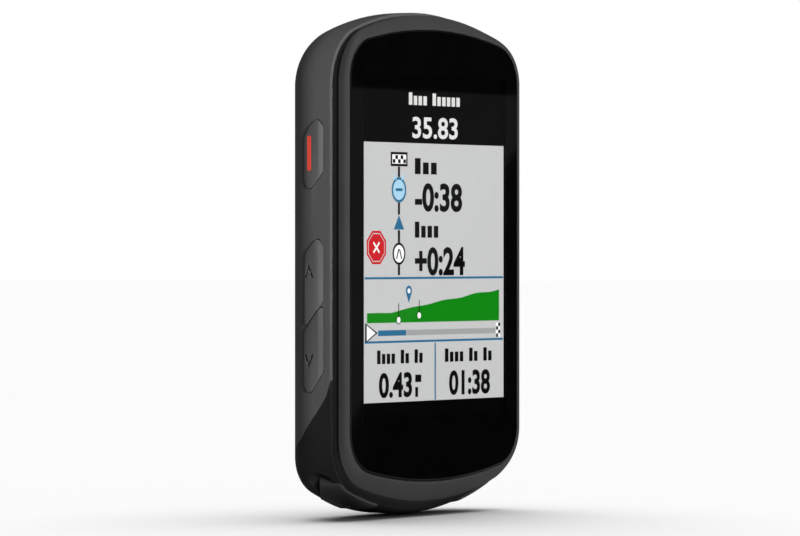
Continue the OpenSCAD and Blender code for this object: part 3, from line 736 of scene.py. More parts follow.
def side_key(name, hand, kind, neighbour=None):
    """Cap with eased edges and a sloping front facet, on a flange and a round stem."""
    shape, radii, z = kind
    cap = side_prism(hand, round_corners(shape, radii), FLANGE_OUT - 0.1, OUTSIDE, name)
    keep(cap, side_band(hand, HALF_W + PROUD, FLANGE_OUT - 0.1, FACET))
    soften(cap, KEY_EASE, 25)
    flange = side_prism(hand, grow(shape, KEY_SPREAD), FLANGE_IN, FLANGE_OUT)
    if neighbour:
        cut(flange, side_prism(hand, grow(neighbour, KEY_CLEAR), FLANGE_IN - 1, FLANGE_OUT + 1))
    add(cap, flange)
    add(cap, side_rod(hand, z, STEM_R, STEM_IN, FLANGE_IN + 0.1))
    return cap


def key_opening(hand, shape, radii, inner):
    return side_prism(hand, grow(round_corners(shape, radii), GAP), inner, OUTSIDE)


def key_room(hand, shape, z):
    return [side_prism(hand, grow(shape, KEY_ROOM), KEY_FLOOR, OUTSIDE),
            side_rod(hand, z, STEM_R + STEM_GAP, STEM_IN, KEY_FLOOR + 1),
            side_rod(hand, z, SEAL_ROOM_R, STEM_IN, SEAL_OUT)]


# Chin keys lie round the centre of the chin's crown. Their insets are measured in from the crown.
CHIN_CENTRE = CHIN_CROWN - HALF_H
CHIN_ANGLE = 21
CHIN_FROM = 14.5
CHIN_TO = 27.5
CHIN_DEPTH = 7
CHIN_FRONT = 3.4
CHIN_BACK = 10.6
CHIN_CAP_IN = 1.6
CHIN_FLANGE_IN = 2
CHIN_FLANGE_SPREAD = 0.4
CHIN_FLANGE_END = 0.35
CHIN_ROOM_IN = 2.7
CHIN_ROOM_SPREAD = 0.55
CHIN_STEM_IN = 4.8
CHIN_SEAL_OUT = 3.7
CHIN_EASE = 0.3
CHIN_SHAPE = [(8, CHIN_FRONT), (24, CHIN_FRONT), (24, 6.2), (17.5, CHIN_BACK), (8, CHIN_BACK)]


def around_chin(hand, angle, r, aside=0.0):
    """A point r from the crown's centre at an angle off straight down, moved aside across that line."""
    a = radians(angle)
    return (hand * (r * sin(a) + aside * cos(a)),
            CHIN_CENTRE - r * cos(a) + aside * sin(a))


def chin_band(hand, outer, inner, front, back, extra, name="tool"):
    band = prism_y(case_outline(CHIN_RUN, outer), front, back, name)
    cut(band, prism_y(case_outline(CHIN_RUN, inner), front - 1, back + 1))
    wedge = [around_chin(hand, angle, r, aside) for angle, r, aside in
             ((CHIN_FROM, 20, -extra), (CHIN_FROM, 60, -extra), (CHIN_TO, 60, extra), (CHIN_TO, 20, extra))]
    return keep(band, prism_y(wedge, front - 1, back + 1))


def chin_rod(hand, r, outer, inner):
    """A rod along a chin key's own axis between two distances in from the crown."""
    rings = []
    for inset in (outer, inner):
        ring = []
        for i in range(40):
            t = 2 * pi * i / 40
            x, z = around_chin(hand, CHIN_ANGLE, CHIN_CROWN - inset, r * cos(t))
            ring.append(place(x, CHIN_DEPTH + r * sin(t), z))
        rings.append(ring)
    return loft(rings)


def chin_face(hand, by):
    """A chin key seen from below, as an upright prism."""
    shape = grow(CHIN_SHAPE, by)
    return loft([[place(hand * x, depth, z) for x, depth in shape] for z in (-44, -24)])


def chin_key(name, hand):
    cap = chin_band(hand, -2, CHIN_CAP_IN, CHIN_FRONT, CHIN_BACK, 0, name)
    keep(cap, chin_face(hand, 0))
    depths = [3 + 0.4 * i for i in range(21)]
    keep(cap, loft(case_rings(depths, -PROUD)))
    soften(cap, CHIN_EASE, 40, 4)
    add(cap, chin_band(hand, CHIN_CAP_IN - 0.05, CHIN_FLANGE_IN, CHIN_FRONT - CHIN_FLANGE_SPREAD,
                       CHIN_BACK + CHIN_FLANGE_SPREAD, CHIN_FLANGE_END))
    return add(cap, chin_rod(hand, STEM_R, CHIN_FLANGE_IN - 0.1, CHIN_STEM_IN))


def chin_room(hand):
    opening = chin_band(hand, -2, CHIN_ROOM_IN, CHIN_FRONT - GAP, CHIN_BACK + GAP, GAP)
    return [keep(opening, chin_face(hand, GAP)),
            chin_band(hand, 1.5, CHIN_ROOM_IN, CHIN_FRONT - CHIN_ROOM_SPREAD,
                      CHIN_BACK + CHIN_ROOM_SPREAD, 0.5),
            chin_rod(hand, STEM_R + STEM_GAP, 2, 6), chin_rod(hand, SEAL_ROOM_R, CHIN_SEAL_OUT, 6)]


SCOOP_R = 4
SCOOP_CUT = 1.05
SCOOP_ANGLE = 48
SCOOP_DEPTH = 7.1


def ball(x, depth, z, r, steps=48):
    """A sphere, from rings round its own upright line."""
    rings = []
    for k in range(1, steps // 2):
        a = pi * k / (steps // 2)
        rings.append([place(*at, z - r * cos(a)) for at in circle(x, depth, r * sin(a), steps)])
    return loft(rings)


def scoop(hand):
    """Round hollow in the corner of the case that bares the end of a chin key."""
    low_z = CHIN_CENTRE - sqrt((CHIN_CROWN - CHIN_CORNER) ** 2 - (HALF_W - CHIN_CORNER) ** 2)
    out = CHIN_CORNER + SCOOP_R - SCOOP_CUT
    x, z = polar(out, -SCOOP_ANGLE, HALF_W - CHIN_CORNER, low_z)
    return ball(hand * x, SCOOP_DEPTH, z, SCOOP_R)


def tether_and_port_tools():
    pivot_depth, pivot_z = FLAP_PIVOT
    below = -HALF_H - 1
    top = -HALF_H + CHIN_WALL + 0.5
    tools = [block(-SOCKET_HALF_W, SOCKET_HALF_W, SOCKET_FRONT, SOCKET_BACK, below, top),
             block(-FLAP_ROOM, FLAP_ROOM, FLAP_FRONT - 0.25, pivot_depth, below, pivot_z - 0.4),
             rod_x(*FLAP_PIVOT, FLAP_BARREL_R + 0.35, -FLAP_ROOM, FLAP_ROOM),
             block(-FLAP_ROOM, FLAP_ROOM, pivot_depth - 0.1, pivot_depth + 2.2, below, pivot_z - 0.2)]
    for hand in (-1, 1):
        edges = sorted(hand * x for x in TETHER_HOLE_X)
        tools.append(block(*edges, TETHER_HOLE_FRONT, FULL_DEPTH, *TETHER_HOLE_Z))
    return tools + [rod_x(*TETHER_BORE, TETHER_BORE_R, -3, 3)]


def make_case():
    case = skin("mid_case")
    upper = cover_region(SEAT_GAP)
    cut(upper, under_cover(COVER_WALL + SEAT_GAP, COVER_BACK - SEAT_GAP))
    cut(case, upper, *cavity_tools())
    for x, z in CORNER_POINTS:
        add(case, rod_y(x, z, PILLAR_R, PILLAR_FRONT, PILLAR_BACK))
    outer, inner = (case_outline(BEZEL_DEPTH, inset) for inset in SEAL_GROOVE)
    seal = prism_y(outer, BEZEL_DEPTH - 0.1, BEZEL_DEPTH + SEAL_GROOVE_DEEP)
    cut(seal, prism_y(inner, 0, 5))
    cut(case, seal)
    for hand, shape, _, z in SIDE_KEYS:
        cut(case, *key_room(hand, shape, z))
    for hand in (-1, 1):
        cut(case, *chin_room(hand))
        cut(case, scoop(hand))
    for x, z in CORNER_POINTS:
        cut(case, rod_y(x, z, SCREW_HOLE_R, 4, COVER_BACK), rod_y(x, z, SCREW_HEAD_R, SCREW_SEAT, COVER_BACK))
    for x, z in MOUNT_SCREWS:
        cut(case, rod_y(x, z, MOUNT_PILOT_R, CAVITY_BACK - 0.1, COVER_BACK))
    return cut(case, rod_y(*VENT, VENT_R, CAVITY_BACK - 0.1, COVER_BACK), *tether_and_port_tools())


def make_cover():
    cover = skin("back_cover", LIP)
    keep(cover, cover_region(0))
    cut(cover, under_cover(COVER_WALL, COVER_BACK))
    for hand, shape, radii, _ in SIDE_KEYS:
        cut(cover, key_opening(hand, shape, radii, KEY_FLOOR))
    cut(cover, rod_y(0, MOUNT_Z, BOSS_R + 1.2, INSERT_FLOOR, FULL_DEPTH, 96))
    for x, z in MOUNT_SCREWS:
        cut(cover, rod_y(x, z, SCREW_HOLE_R, COVER_BACK - 1, FULL_DEPTH))
    for i in (-1, 0, 1):
        cut(cover, rod_y(VENT[0], VENT[1] + VENT_STEP * i, VENT_HOLE_R, COVER_BACK - 1, FULL_DEPTH))
    return cover


def make_flap():
    flap = skin("usb_cover")
    back = FLAP_PIVOT[0] - 0.4
    shape = [(FLAP_FRONT, -HALF_H - 1), (back, -HALF_H - 1), (back, FLAP_PIVOT[1] - 0.45),
             (10.4, -HALF_H + 1.9), (FLAP_FRONT, -HALF_H + 1.3)]
    keep(flap, prism_x(shape, -FLAP_HALF_W, FLAP_HALF_W))
    soften(flap, 0.15, 50, 3)
    add(flap, block(-3.1, 3.1, 7.3, 8.9, -HALF_H + 1, -36.4))
    return add(flap, rod_x(*FLAP_PIVOT, FLAP_BARREL_R, -FLAP_HALF_W, FLAP_HALF_W))


def make_insert():
    front = INSERT_FLOOR + 0.02
    profile = [(front, BOSS_R), (FULL_DEPTH - BOSS_LEAD_DEPTH, BOSS_R), (FULL_DEPTH, BOSS_R - BOSS_LEAD)]
    insert = loft([ring_at(d, circle(0, MOUNT_Z, r, BOSS_STEPS)) for d, r in profile], "mount_insert")
    add(insert, rod_y(0, MOUNT_Z, BOSS_R + BASE_RIM, front, BODY_DEPTH + 0.4, BOSS_STEPS))
    for middle in (90, 270):
        arc = [polar(WING_R, middle - 33 + 66 * i / 24, 0, MOUNT_Z) for i in range(25)]
        add(insert, prism_y(arc + [(0, MOUNT_Z)], FULL_DEPTH - WING_THICK, FULL_DEPTH))
    for x, z in MOUNT_SCREWS:
        cut(insert, rod_y(x, z, SCREW_HOLE_R, INSERT_FLOOR - 1, FULL_DEPTH),
            rod_y(x, z, HEAD_R, FULL_DEPTH - HEAD_DEEP, FULL_DEPTH + 1))
    return soften(insert, 0.18, 40, 3)


lens, pane = make_lens()
piece(lens, "case", None, "cover_glass", "lens", angle=60)
piece(pane, "case", glass_finish, "cover_glass")
piece(make_bezel(), "case", bezel_finish, "bezel_plastic", "front_bezel")
piece(make_case(), "case", case_finish, "case_plastic", "mid_case")
piece(make_cover(), "case", cover_finish, "cover_plastic", "back_cover")
piece(make_flap(), "port_flap", flap_finish, "flap_rubber", "usb_cover")
piece(make_insert(), "case", insert_finish, "mount_nylon", "mount_insert")


# ---- Buttons ----


ARROW_DEEP = 0.28
ARROW_HALF_W = 0.24
MARK_BAR = (6.85, 7.75, 14.85, 20.4)
MARK_IN = HALF_W - 0.75
MARK_SPARE = 0.03
SYMBOL_ANGLE = 17
SYMBOL_DEPTH = 7.9
SYMBOL_STRETCH = 1.3
SYMBOL_DEEP = 0.25


def arrow(hand, tip, legs):
    """Two strokes that meet at a tip, cut to a shallow depth in a side key's face."""
    tool = None
    for leg in legs:
        across = unit2(leg, tip)
        past = ARROW_HALF_W / 2
        a = (tip[0] + past * across[0], tip[1] + past * across[1])
        w = (-ARROW_HALF_W * across[1], ARROW_HALF_W * across[0])
        stroke = [(leg[0] + w[0], leg[1] + w[1]), (leg[0] - w[0], leg[1] - w[1]),
                  (a[0] - w[0], a[1] - w[1]), (a[0] + w[0], a[1] + w[1])]
        bar = side_prism(hand, stroke, HALF_W - 1.5, OUTSIDE)
        tool = bar if tool is None else add(tool, bar)
    return cut(tool, side_band(hand, HALF_W + PROUD - ARROW_DEEP, HALF_W - 3))


def mark_bar(spare, outer, name="tool"):
    """Bar let into the power button's face."""
    front, back, low, high = MARK_BAR
    shape = rectangle(front - spare, back + spare, low - spare, high + spare)
    bar = side_prism(-1, round_corners(shape, 0.25 + spare), MARK_IN, HALF_W + 1, name)
    return keep(bar, side_band(-1, outer, HALF_W - 1))


def lap_symbol(hand):
    """A bent arrow cut in a chin key's face."""
    inner, outer = 0.55, 0.85
    ring = [polar(outer, a) for a in range(40, 321, 20)] + [polar(inner, a) for a in range(320, 39, -20)]
    head = [(0.35, 0.25), (1.0, 0.05), (0.95, 0.8)]
    tools = []
    for shape in (ring, head):
        rings = []
        for inset in (-PROUD - 0.6, SYMBOL_DEEP - PROUD):
            spots = [around_chin(hand, SYMBOL_ANGLE, CHIN_CROWN - inset, across) for across, _ in shape]
            rings.append([place(x, SYMBOL_DEPTH + along * SYMBOL_STRETCH, z)
                          for (x, z), (_, along) in zip(spots, shape)])
        tools.append(loft(rings))
    return add(*tools)


def key_piece(key, name, finish=button_finish, slot_name="button_rubber"):
    piece(key, name + "_key", finish, slot_name, name + "_button")


power = side_key("power_button", -1, POWER)
cut(power, mark_bar(MARK_SPARE, HALF_W + PROUD + 0.5))
key_piece(power, "power")
piece(mark_bar(0, HALF_W + PROUD - MARK_SPARE, "power_button_mark"), "power_key", red_finish, "red_inlay",
      "power_button_mark")
for name, kind, neighbour, tip, foot in (("up", UPPER, DOWN_SHAPE, -0.4, -2.2),
                                         ("down", LOWER, UP_SHAPE, -16.4, -14.4)):
    key = side_key(name + "_button", -1, kind, neighbour)
    key_piece(cut(key, arrow(-1, (7.45, tip), [(8.15, foot), (6.6, foot)])), name)
key_piece(side_key("enter_button", 1, UPPER, DOWN_SHAPE), "enter")
key_piece(side_key("back_button", 1, LOWER, UP_SHAPE), "back")
CHIN_LOOK = (chin_button_finish, "chin_button_rubber")
key_piece(cut(chin_key("lap_button", -1), lap_symbol(-1)), "lap", *CHIN_LOOK)
key_piece(chin_key("start_button", 1), "start", *CHIN_LOOK)


# ---- Screen ----

# Layers of the picture from its front, each let into the one behind
TOP_LAYER = PICTURE_DEPTH
MARK_LAYER = PICTURE_DEPTH + 0.02
AREA_LAYER = PICTURE_DEPTH + 0.04
BASE_LAYER = PICTURE_DEPTH + 0.06
DETAIL_LAYER = PICTURE_DEPTH - 0.018
LAYER = 0.015
HAIRLINE = 0.02
AREA_HALF_W = 20.05
AREA_LOW = -22.28
AREA_HIGH = 19.51

screens = {name: screen_finish(name + "_screen", colour, glow) for name, colour, glow in (
    ("black", (0.002, 0.002, 0.0022), 0.0), ("grey", (0.56, 0.565, 0.565), 0.8),
    ("heading", (0.7, 0.7, 0.69), 0.85), ("white", (0.85, 0.85, 0.85), 0.95),
    ("ink", (0.005, 0.005, 0.006), 0.25), ("blue", (0.022, 0.135, 0.26), 0.9),
    ("green", (0.005, 0.21, 0.006), 0.9), ("pale", (0.36, 0.6, 0.76), 0.9),
    ("red", (0.54, 0.012, 0.02), 0.9), ("rule", (0.33, 0.34, 0.345), 0.9))}


def join(name, parts):
    """One mesh with every part's closed shell."""
    bm = bmesh.new()
    for part in parts:
        bm.from_mesh(part.data)
        bpy.data.objects.remove(part)
    mesh = bpy.data.meshes.new(name)
    bm.to_mesh(mesh)
    bm.free()
    return make_object(name, mesh)


def flat(points, layer=MARK_LAYER):
    return prism_y(points, layer, layer + LAYER)


def bar(x0, x1, z0, z1, layer=MARK_LAYER):
    return flat(rectangle(x0, x1, z0, z1), layer)


def disc(x, z, r, layer=MARK_LAYER):
    return flat(circle(x, z, r, 40), layer)


def ring_mark(x, z, outer, inner):
    return cut(disc(x, z, outer), prism_y(circle(x, z, inner, 40), MARK_LAYER - 0.1, MARK_LAYER + 0.1))


def digits(text, x0, x1, z0, z1, weight):
    """Numbers fitted into a box on the screen."""
    curve = bpy.data.curves.new("tool", "FONT")
    curve.body = text
    curve.size = 1
    curve.offset = weight
    curve.resolution_u = 4
    written = make_object("tool", curve)
    bpy.context.view_layer.update()
    mesh = bpy.data.meshes.new_from_object(written.evaluated_get(bpy.context.evaluated_depsgraph_get()))
    bpy.data.objects.remove(written)

    def fit(bm):
        bmesh.ops.remove_doubles(bm, verts=bm.verts, dist=1e-5)
        low_x, high_x = min(v.co.x for v in bm.verts), max(v.co.x for v in bm.verts)
        low_y, high_y = min(v.co.y for v in bm.verts), max(v.co.y for v in bm.verts)
        for v in bm.verts:
            x = x0 + (v.co.x - low_x) / (high_x - low_x) * (x1 - x0)
            z = z0 + (v.co.y - low_y) / (high_y - low_y) * (z1 - z0)
            v.co = place(x, MARK_LAYER, z)
        made = bmesh.ops.extrude_face_region(bm, geom=bm.faces[:])
        for v in made["geom"]:
            if isinstance(v, bmesh.types.BMVert):
                v.co.y += LAYER * MM
        turn_out(bm)

    edit(mesh, fit)
    return make_object("tool", mesh)


def word(x0, x1, z0, z1, groups):
    """A label's place, held by rows of short blocks in groups. No letters."""
    total = sum(groups) + 0.9 * (len(groups) - 1)
    step = (x1 - x0) / total
    blocks = []
    at = x0
    for count in groups:
        for k in range(count):
            tall = 1.0 if k == 0 else 0.74
            blocks.append(bar(at, at + 0.7 * step, z0, z0 + (z1 - z0) * tall))
            at += step
        at += 0.9 * step
    return blocks


def checkers(x0, x1, z0, z1, across, rows):
    """Every other square of a flag, with hairline gaps so that no two corners meet."""
    w, h = (x1 - x0) / across, (z1 - z0) / rows
    return [bar(x0 + i * w + HAIRLINE, x0 + (i + 1) * w - HAIRLINE,
                z0 + j * h + HAIRLINE, z0 + (j + 1) * h - HAIRLINE, DETAIL_LAYER)
            for i in range(across) for j in range(rows) if (i + j) % 2 == 0]


def screen_piece(name, parts, colour):
    piece(join("screen_" + name, parts), "case", screens[colour], "display")


panel = prism_y(screen_shape(0.1), GLASS_THICK + 0.02, 2.9, "display_panel")
add(panel, prism_y(screen_shape(0.35), BASE_LAYER, 1.5))
piece(panel, "case", screens["black"], "display", "display_panel")
screen_piece("area", [bar(-AREA_HALF_W, AREA_HALF_W, AREA_LOW, AREA_HIGH, AREA_LAYER)], "grey")

# Rows of the picture: each pair is the lowest and the highest z
HEADING_LABEL, HEADING_NUMBER = (25.7, 27.7), (20.3, 23.8)
FIRST_LABEL, FIRST_NUMBER = (14.5, 17.1), (8.4, 13.1)
SECOND_LABEL, SECOND_NUMBER = (4.2, 6.8), (-2.0, 2.7)
FOOT_LABEL, FOOT_NUMBER = (-16.1, -13.9), (-21.6, -17.5)
UPPER_RULE, LOWER_RULE, BAR_ROW = (-2.5, -2.15), (-12.75, -12.4), (-11.6, -10.7)
NUMBERS_X = -5.8
HEADING_WEIGHT = 0.02
NUMBER_WEIGHT = 0.032
ROUTE_X = -10.3
BADGE_Z = 11.9
MARKER_Z = 1.6
SIGN = (-16.6, 2.6)
SIGN_R = 2.9
CHART_BASE = -9.5
CHART_LEFT = -19.2
CHART_RIGHT = 18.7
STOPS = [(-10.4, -9.1), (-4.6, -8.4)]
PIN = (-7.5, -4.4)
BAR_SPLIT = (-8.3, -8.2)
END_FLAG = (17.75, 19.0, -12.25, -9.85)


def chart():
    """Hill profile: level ground, then a rise with soft shoulders."""
    points = [(CHART_LEFT, CHART_BASE), (CHART_RIGHT, CHART_BASE)]
    for i in range(60, -1, -1):
        t = i / 60
        x = CHART_LEFT + (CHART_RIGHT - CHART_LEFT) * t
        height = 1.6 + 3.6 * max(0, (t - 0.18) / 0.82) ** 0.9 + 0.16 * sin(t * 25) * t
        points.append((x, CHART_BASE + height))
    return flat(points)


def pin(x, z, size):
    """Map pin: round head, pointed foot."""
    return flat([polar(size, a, x, z) for a in range(-30, 211, 12)] + [(x, z - 2.3 * size)])


def octagon(r):
    return [polar(r, 22.5 + 45 * i, *SIGN) for i in range(8)]


sign_rim = cut(flat(octagon(SIGN_R)), prism_y(octagon(SIGN_R * 0.86), 0, 1))
screen_piece("red_sign", [sign_rim, flat(octagon(SIGN_R * 0.8))], "red")


def slanted_bar(x, z, length, width, angle, layer):
    c, s = cos(radians(angle)), sin(radians(angle))
    corners = [(-length, -width), (length, -width), (length, width), (-length, width)]
    return flat([(x + a * c - b * s, z + a * s + b * c) for a, b in corners], layer)


def stroke(x, angle):
    """One leg of the sign in the route's round marker."""
    return slanted_bar(ROUTE_X + x, MARKER_Z - 0.05, 0.85, 0.13, angle, DETAIL_LAYER)


def frame_of(outer, inner):
    return cut(flat(outer), prism_y(inner, 0, 1))


def route_bar(low, high):
    return bar(ROUTE_X - 0.3, ROUTE_X + 0.3, low, high)


screen_piece("heading", [digits("35.83", -6.5, 6.5, *HEADING_NUMBER, HEADING_WEIGHT)]
             + word(-7.5, 7.5, *HEADING_LABEL, [4, 6]), "heading")
cross = add(*(slanted_bar(*SIGN, 1.15, 0.17, angle, TOP_LAYER) for angle in (45, -45)))
screen_piece("white_marks",
             [cross, disc(ROUTE_X, MARKER_Z, 1.4, TOP_LAYER),
              flat([(-19.2, -12.25), (-16.9, -11.1), (-19.2, -9.95)], TOP_LAYER)]
             + [disc(x, z, 0.5, TOP_LAYER) for x, z in STOPS]
             + [bar(-12.2, -8.3, 16.1, 17.6, TOP_LAYER), disc(*PIN, 0.4, TOP_LAYER),
                bar(*END_FLAG, TOP_LAYER)], "white")
spikes = [flat([(ROUTE_X + x - 0.45, BADGE_Z + 1.6), (ROUTE_X + x + 0.45, BADGE_Z + 1.6),
                (ROUTE_X + 1.3 * x, BADGE_Z + 2.8)]) for x in (-0.95, 0.95)]
screen_piece("pale_marks", [disc(ROUTE_X, BADGE_Z, 1.62, TOP_LAYER)] + spikes, "pale")
screen_piece("black_marks",
             [route_bar(13.97, 15.65), route_bar(7.9, 9.85), route_bar(3.4, 5.4), route_bar(-1.85, -0.2),
              frame_of(rectangle(-12.6, -7.9, 15.7, 18.0), rectangle(-12.15, -8.35, 16.15, 17.55)),
              ring_mark(ROUTE_X, MARKER_Z, 1.8, 1.42),
              digits("-0:38", NUMBERS_X, 7.8, *FIRST_NUMBER, NUMBER_WEIGHT),
              digits("+0:24", NUMBERS_X, 8.6, *SECOND_NUMBER, NUMBER_WEIGHT),
              digits("0.43", -15.9, -6.6, *FOOT_NUMBER, NUMBER_WEIGHT),
              digits("01:38", 4.0, 16.0, *FOOT_NUMBER, NUMBER_WEIGHT)]
             + word(NUMBERS_X, 1.1, *FIRST_LABEL, [3]) + word(NUMBERS_X, 1.4, *SECOND_LABEL, [4])
             + word(-16.4, -3.2, *FOOT_LABEL, [4, 2, 2]) + word(2.8, 16.9, *FOOT_LABEL, [4, 2, 2])
             + [bar(-5.7, -4.0, -19.2, -18.0), bar(-5.7, -4.9, -21.6, -20.0),
                frame_of([(-19.7, -12.75), (-16.25, -11.1), (-19.7, -9.45)],
                         [(-19.3, -12.4), (-16.8, -11.1), (-19.3, -9.8)])]
             + [disc(x, z, 0.68) for x, z in STOPS], "ink")
screen_piece("black_details",
             checkers(-12.1, -8.4, 16.2, 17.5, 5, 2) + checkers(*END_FLAG, 2, 4)
             + [stroke(-0.42, 68), stroke(0.42, -68)], "ink")
screen_piece("blue_marks",
             [bar(0.2 - AREA_HALF_W, AREA_HALF_W - 0.2, *ends) for ends in (UPPER_RULE, LOWER_RULE)]
             + [bar(-0.18, 0.18, -22.2, -12.9), ring_mark(ROUTE_X, BADGE_Z, 2.05, 1.65),
                flat([(ROUTE_X - 1.45, 5.5), (ROUTE_X + 1.45, 5.5), (ROUTE_X, 7.85)]),
                bar(-16.1, BAR_SPLIT[0], *BAR_ROW), pin(*PIN, 0.85)], "blue")
screen_piece("blue_details", [bar(ROUTE_X - 0.95, ROUTE_X + 0.95, 11.7, 12.15, DETAIL_LAYER)], "blue")
screen_piece("grey_marks", [bar(BAR_SPLIT[1], 17.6, *BAR_ROW)], "rule")
screen_piece("green_chart", [chart()], "green")
screen_piece("chart_stems", [bar(-10.5, -10.3, -8.5, -6.4, TOP_LAYER),
                             bar(-4.7, -4.5, -7.8, -5.9, TOP_LAYER)], "ink")


# ---- Pieces kept from the CAD model ----

for finish, nodes in (
    (finish_of("adhesive", (0.02, 0.02, 0.02), rough=0.7), ["lens_adhesive"]),
    (finish_of("silicone", (0.09, 0.09, 0.095), rough=0.6), ["case_seal"]),
    (finish_of("sensor", (0.01, 0.01, 0.03), rough=0.15, coat=0.5), ["light_sensor"]),
    (finish_of("light_guide", (0.8, 0.8, 0.78), rough=0.35, mottle=0.04), ["backlight"]),
    (finish_of("polyimide", (0.55, 0.25, 0.04), rough=0.3, streaks=True), ["display_flex"]),
    (finish_of("alloy", (0.6, 0.6, 0.62), rough=0.35, metallic=1, streaks=True), ["inner_frame"]),
    (finish_of("ceramic", (0.62, 0.52, 0.4), rough=0.55), ["gps_antenna"]),
    (finish_of("membrane", (0.85, 0.85, 0.84), rough=0.8, mottle=0.04), ["vent_membrane"]),
    (finish_of("pouch", (0.55, 0.57, 0.6), rough=0.3, metallic=0.8, swirl=90), ["battery"]),
    (finish_of("foam", (0.05, 0.05, 0.055), rough=0.9, grain=1400, grain_depth=0.05), ["battery_foam"]),
    (finish_of("insulation", (0.5, 0.03, 0.02), rough=0.4), ["battery_lead"]),
    (finish_of("nylon", (0.8, 0.77, 0.68), rough=0.45), ["battery_connector"]),
    (finish_of("board", (0.015, 0.13, 0.045), rough=0.35, swirl=420, mottle=0.3, coat=0.3),
     ("main_board", "left_key_board", "right_key_board", "lap_key_board", "start_key_board")),
    (finish_of("can", (0.66, 0.66, 0.68), rough=0.28, metallic=1, streaks=True),
     ("shield_cans", "usb_connector", "pressure_sensor")),
    (finish_of("steel", (0.42, 0.42, 0.44), rough=0.3, metallic=1),
     ("mount_screws", "case_screws", "board_screws")),
    (finish_of("chip", (0.02, 0.02, 0.022), rough=0.5, grain_depth=0.01),
     ("board_chips", "buzzer", "key_switches")),
    (finish_of("plunger", (0.78, 0.76, 0.68), rough=0.4),
     [key + "_plunger" for key in ("power", "up", "down", "enter", "back", "lap", "start")]),
    (finish_of("seal", (0.02, 0.02, 0.02), rough=0.7), ["button_seals"]),
):
    for node in nodes:
        wear_finish(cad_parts[node], finish)


# ---- Floor, light and camera ----

FLOOR_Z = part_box("mid_case")[0].z - 0.0002
FLOOR_R = 6
FLOOR_BOUNCE = 0.27


def floor_material():
    """Pale matte floor that throws little light back up at the object."""
    material, graph = new_material("floor_finish")
    cloud = graph.mix(graph.noise(graph.coordinates(), 3), (0.95, 0.95, 0.95), (0.97, 0.97, 0.97))
    seen = graph.add("LightPath").outputs["Is Camera Ray"]
    matte = graph.add("BsdfDiffuse", Color=graph.mix(seen, (FLOOR_BOUNCE,) * 3, cloud))
    graph.surface(matte)
    return material


def make_floor():
    edge = circle(0, 0, FLOOR_R, 64)
    floor = build("floor", [Vector((x, y, FLOOR_Z)) for x, y in edge], [tuple(range(len(edge)))])
    wear_finish(floor, floor_material())
    return floor


def make_aimed(name, data, towards, at=(0, 0, 0)):
    obj = make_object(name, data)
    obj.location = at
    obj.rotation_euler = Vector(towards).to_track_quat("-Z", "Y").to_euler()
    return obj


def make_sun(name, strength, angle, towards=(0, 0, -1)):
    light = bpy.data.lights.new(name, "SUN")
    light.energy = strength
    light.angle = radians(angle)
    return make_aimed(name, light, towards)


def link_light(obj, floor, state):
    """Keeps a light off the floor, or on the floor alone."""
    group = bpy.data.collections.new(obj.name + "_floor")
    group.objects.link(floor)
    group.collection_objects[0].light_linking.link_state = state
    obj.light_linking.receiver_collection = group


def make_light(name, at, aim, size, power, spread):
    light = bpy.data.lights.new(name, "AREA")
    light.shape = "SQUARE"
    light.size = size
    light.energy = power
    light.spread = radians(spread)
    return make_aimed(name, light, Vector(aim) - Vector(at), at)


def make_world(seen, lit):
    """White behind the object, and a dimmer light from everywhere."""
    world = bpy.data.worlds.new("studio")
    world.use_nodes = True
    graph = Graph(world.node_tree)
    level = graph.spread(graph.add("LightPath").outputs["Is Camera Ray"], lit, seen, 0, 1)
    background = graph.add("Background", Color=(1, 1, 1), Strength=level)
    graph.surface(background, "OutputWorld")
    bpy.context.scene.world = world


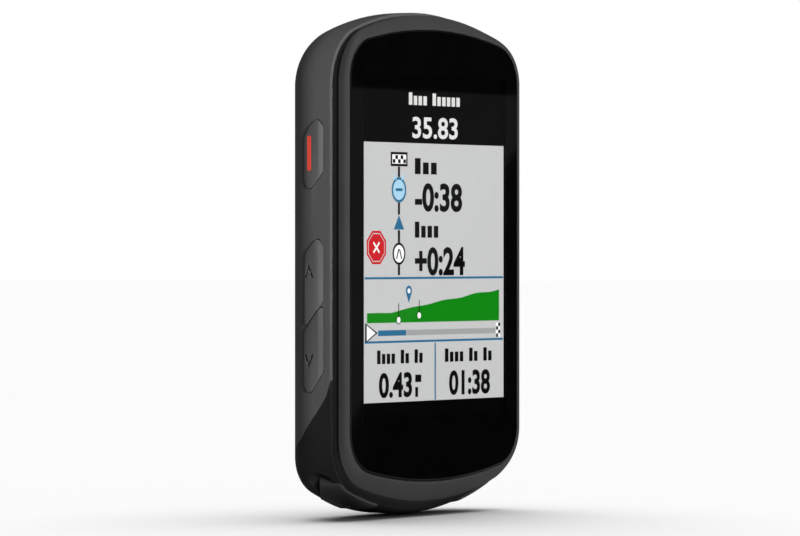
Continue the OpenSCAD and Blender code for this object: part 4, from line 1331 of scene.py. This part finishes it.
AXIS = Vector((0.8235, 0.5673, 0))
CAMERA_AT = Vector((-0.6160, -0.4443, 0.0081))
CAMERA_LENS = 206.5
CAMERA_LEFT = radians(0.452)
CAMERA_DOWN = radians(0.212)
FLOOR_SUN_LEAN = 22


def mirrored(x, z, far):
    """Where the camera's view of a point on the glass lands on an upright plane at that distance."""
    point = place(x, 0, z)
    ray = point - CAMERA_AT
    ray.y = -ray.y
    across = Vector((AXIS.x, -AXIS.y, 0))
    start = Vector((0, FRONT_Y * MM, 0))
    return point + ray * ((far - (point - start).dot(across)) / ray.dot(across))


def mirror_card(name, far, corners, tone):
    """A card that the glass mirrors over a patch of its face. It only shows in reflections."""
    card = build(name, [mirrored(x, z, far) for x, z in corners], [tuple(range(len(corners)))])
    material, graph = new_material(name + "_tone")
    glowing = graph.add("Emission", Color=(1, 1, 1), Strength=tone)
    graph.surface(glowing)
    wear_finish(card, material)
    for ray in ("camera", "diffuse", "shadow", "transmission"):
        setattr(card, "visible_" + ray, False)


floor = make_floor()
make_world(1.0, 0.14)
key = make_light("key", at=(-0.36, -0.65, 0.12), aim=(0, -0.01, 0.078), size=0.3, power=0.46, spread=20)
key.visible_glossy = False  # its mirror image would draw a bright line down the glass's edge
for light in (key, make_sun("sky", strength=0.6, angle=50)):
    link_light(light, floor, "EXCLUDE")
lean_back = radians(FLOOR_SUN_LEAN)
floor_sun = make_sun("floor_sun", strength=2.95, angle=80,
                     towards=-AXIS * sin(lean_back) - Vector((0, 0, cos(lean_back))))
link_light(floor_sun, floor, "INCLUDE")
mirror_card("dark_card", 0.09, rectangle(-60, 60, -70, 80), 0.0)
mirror_card("dim_card", 0.085, [(-30, -30.5), (30, 25.3), (30, 28), (-30, 28)], 0.09)

camera_data = bpy.data.cameras.new("camera")
camera_data.lens = CAMERA_LENS
camera_data.sensor_width = 36
camera_data.clip_start = 0.02
camera_data.clip_end = 20
aim = AXIS.copy()
aim.rotate(Matrix.Rotation(CAMERA_LEFT, 3, "Z"))
aim.z = -tan(CAMERA_DOWN)
bpy.context.scene.camera = make_aimed("camera", camera_data, aim, CAMERA_AT)
bpy.context.scene.view_settings.view_transform = "Standard"
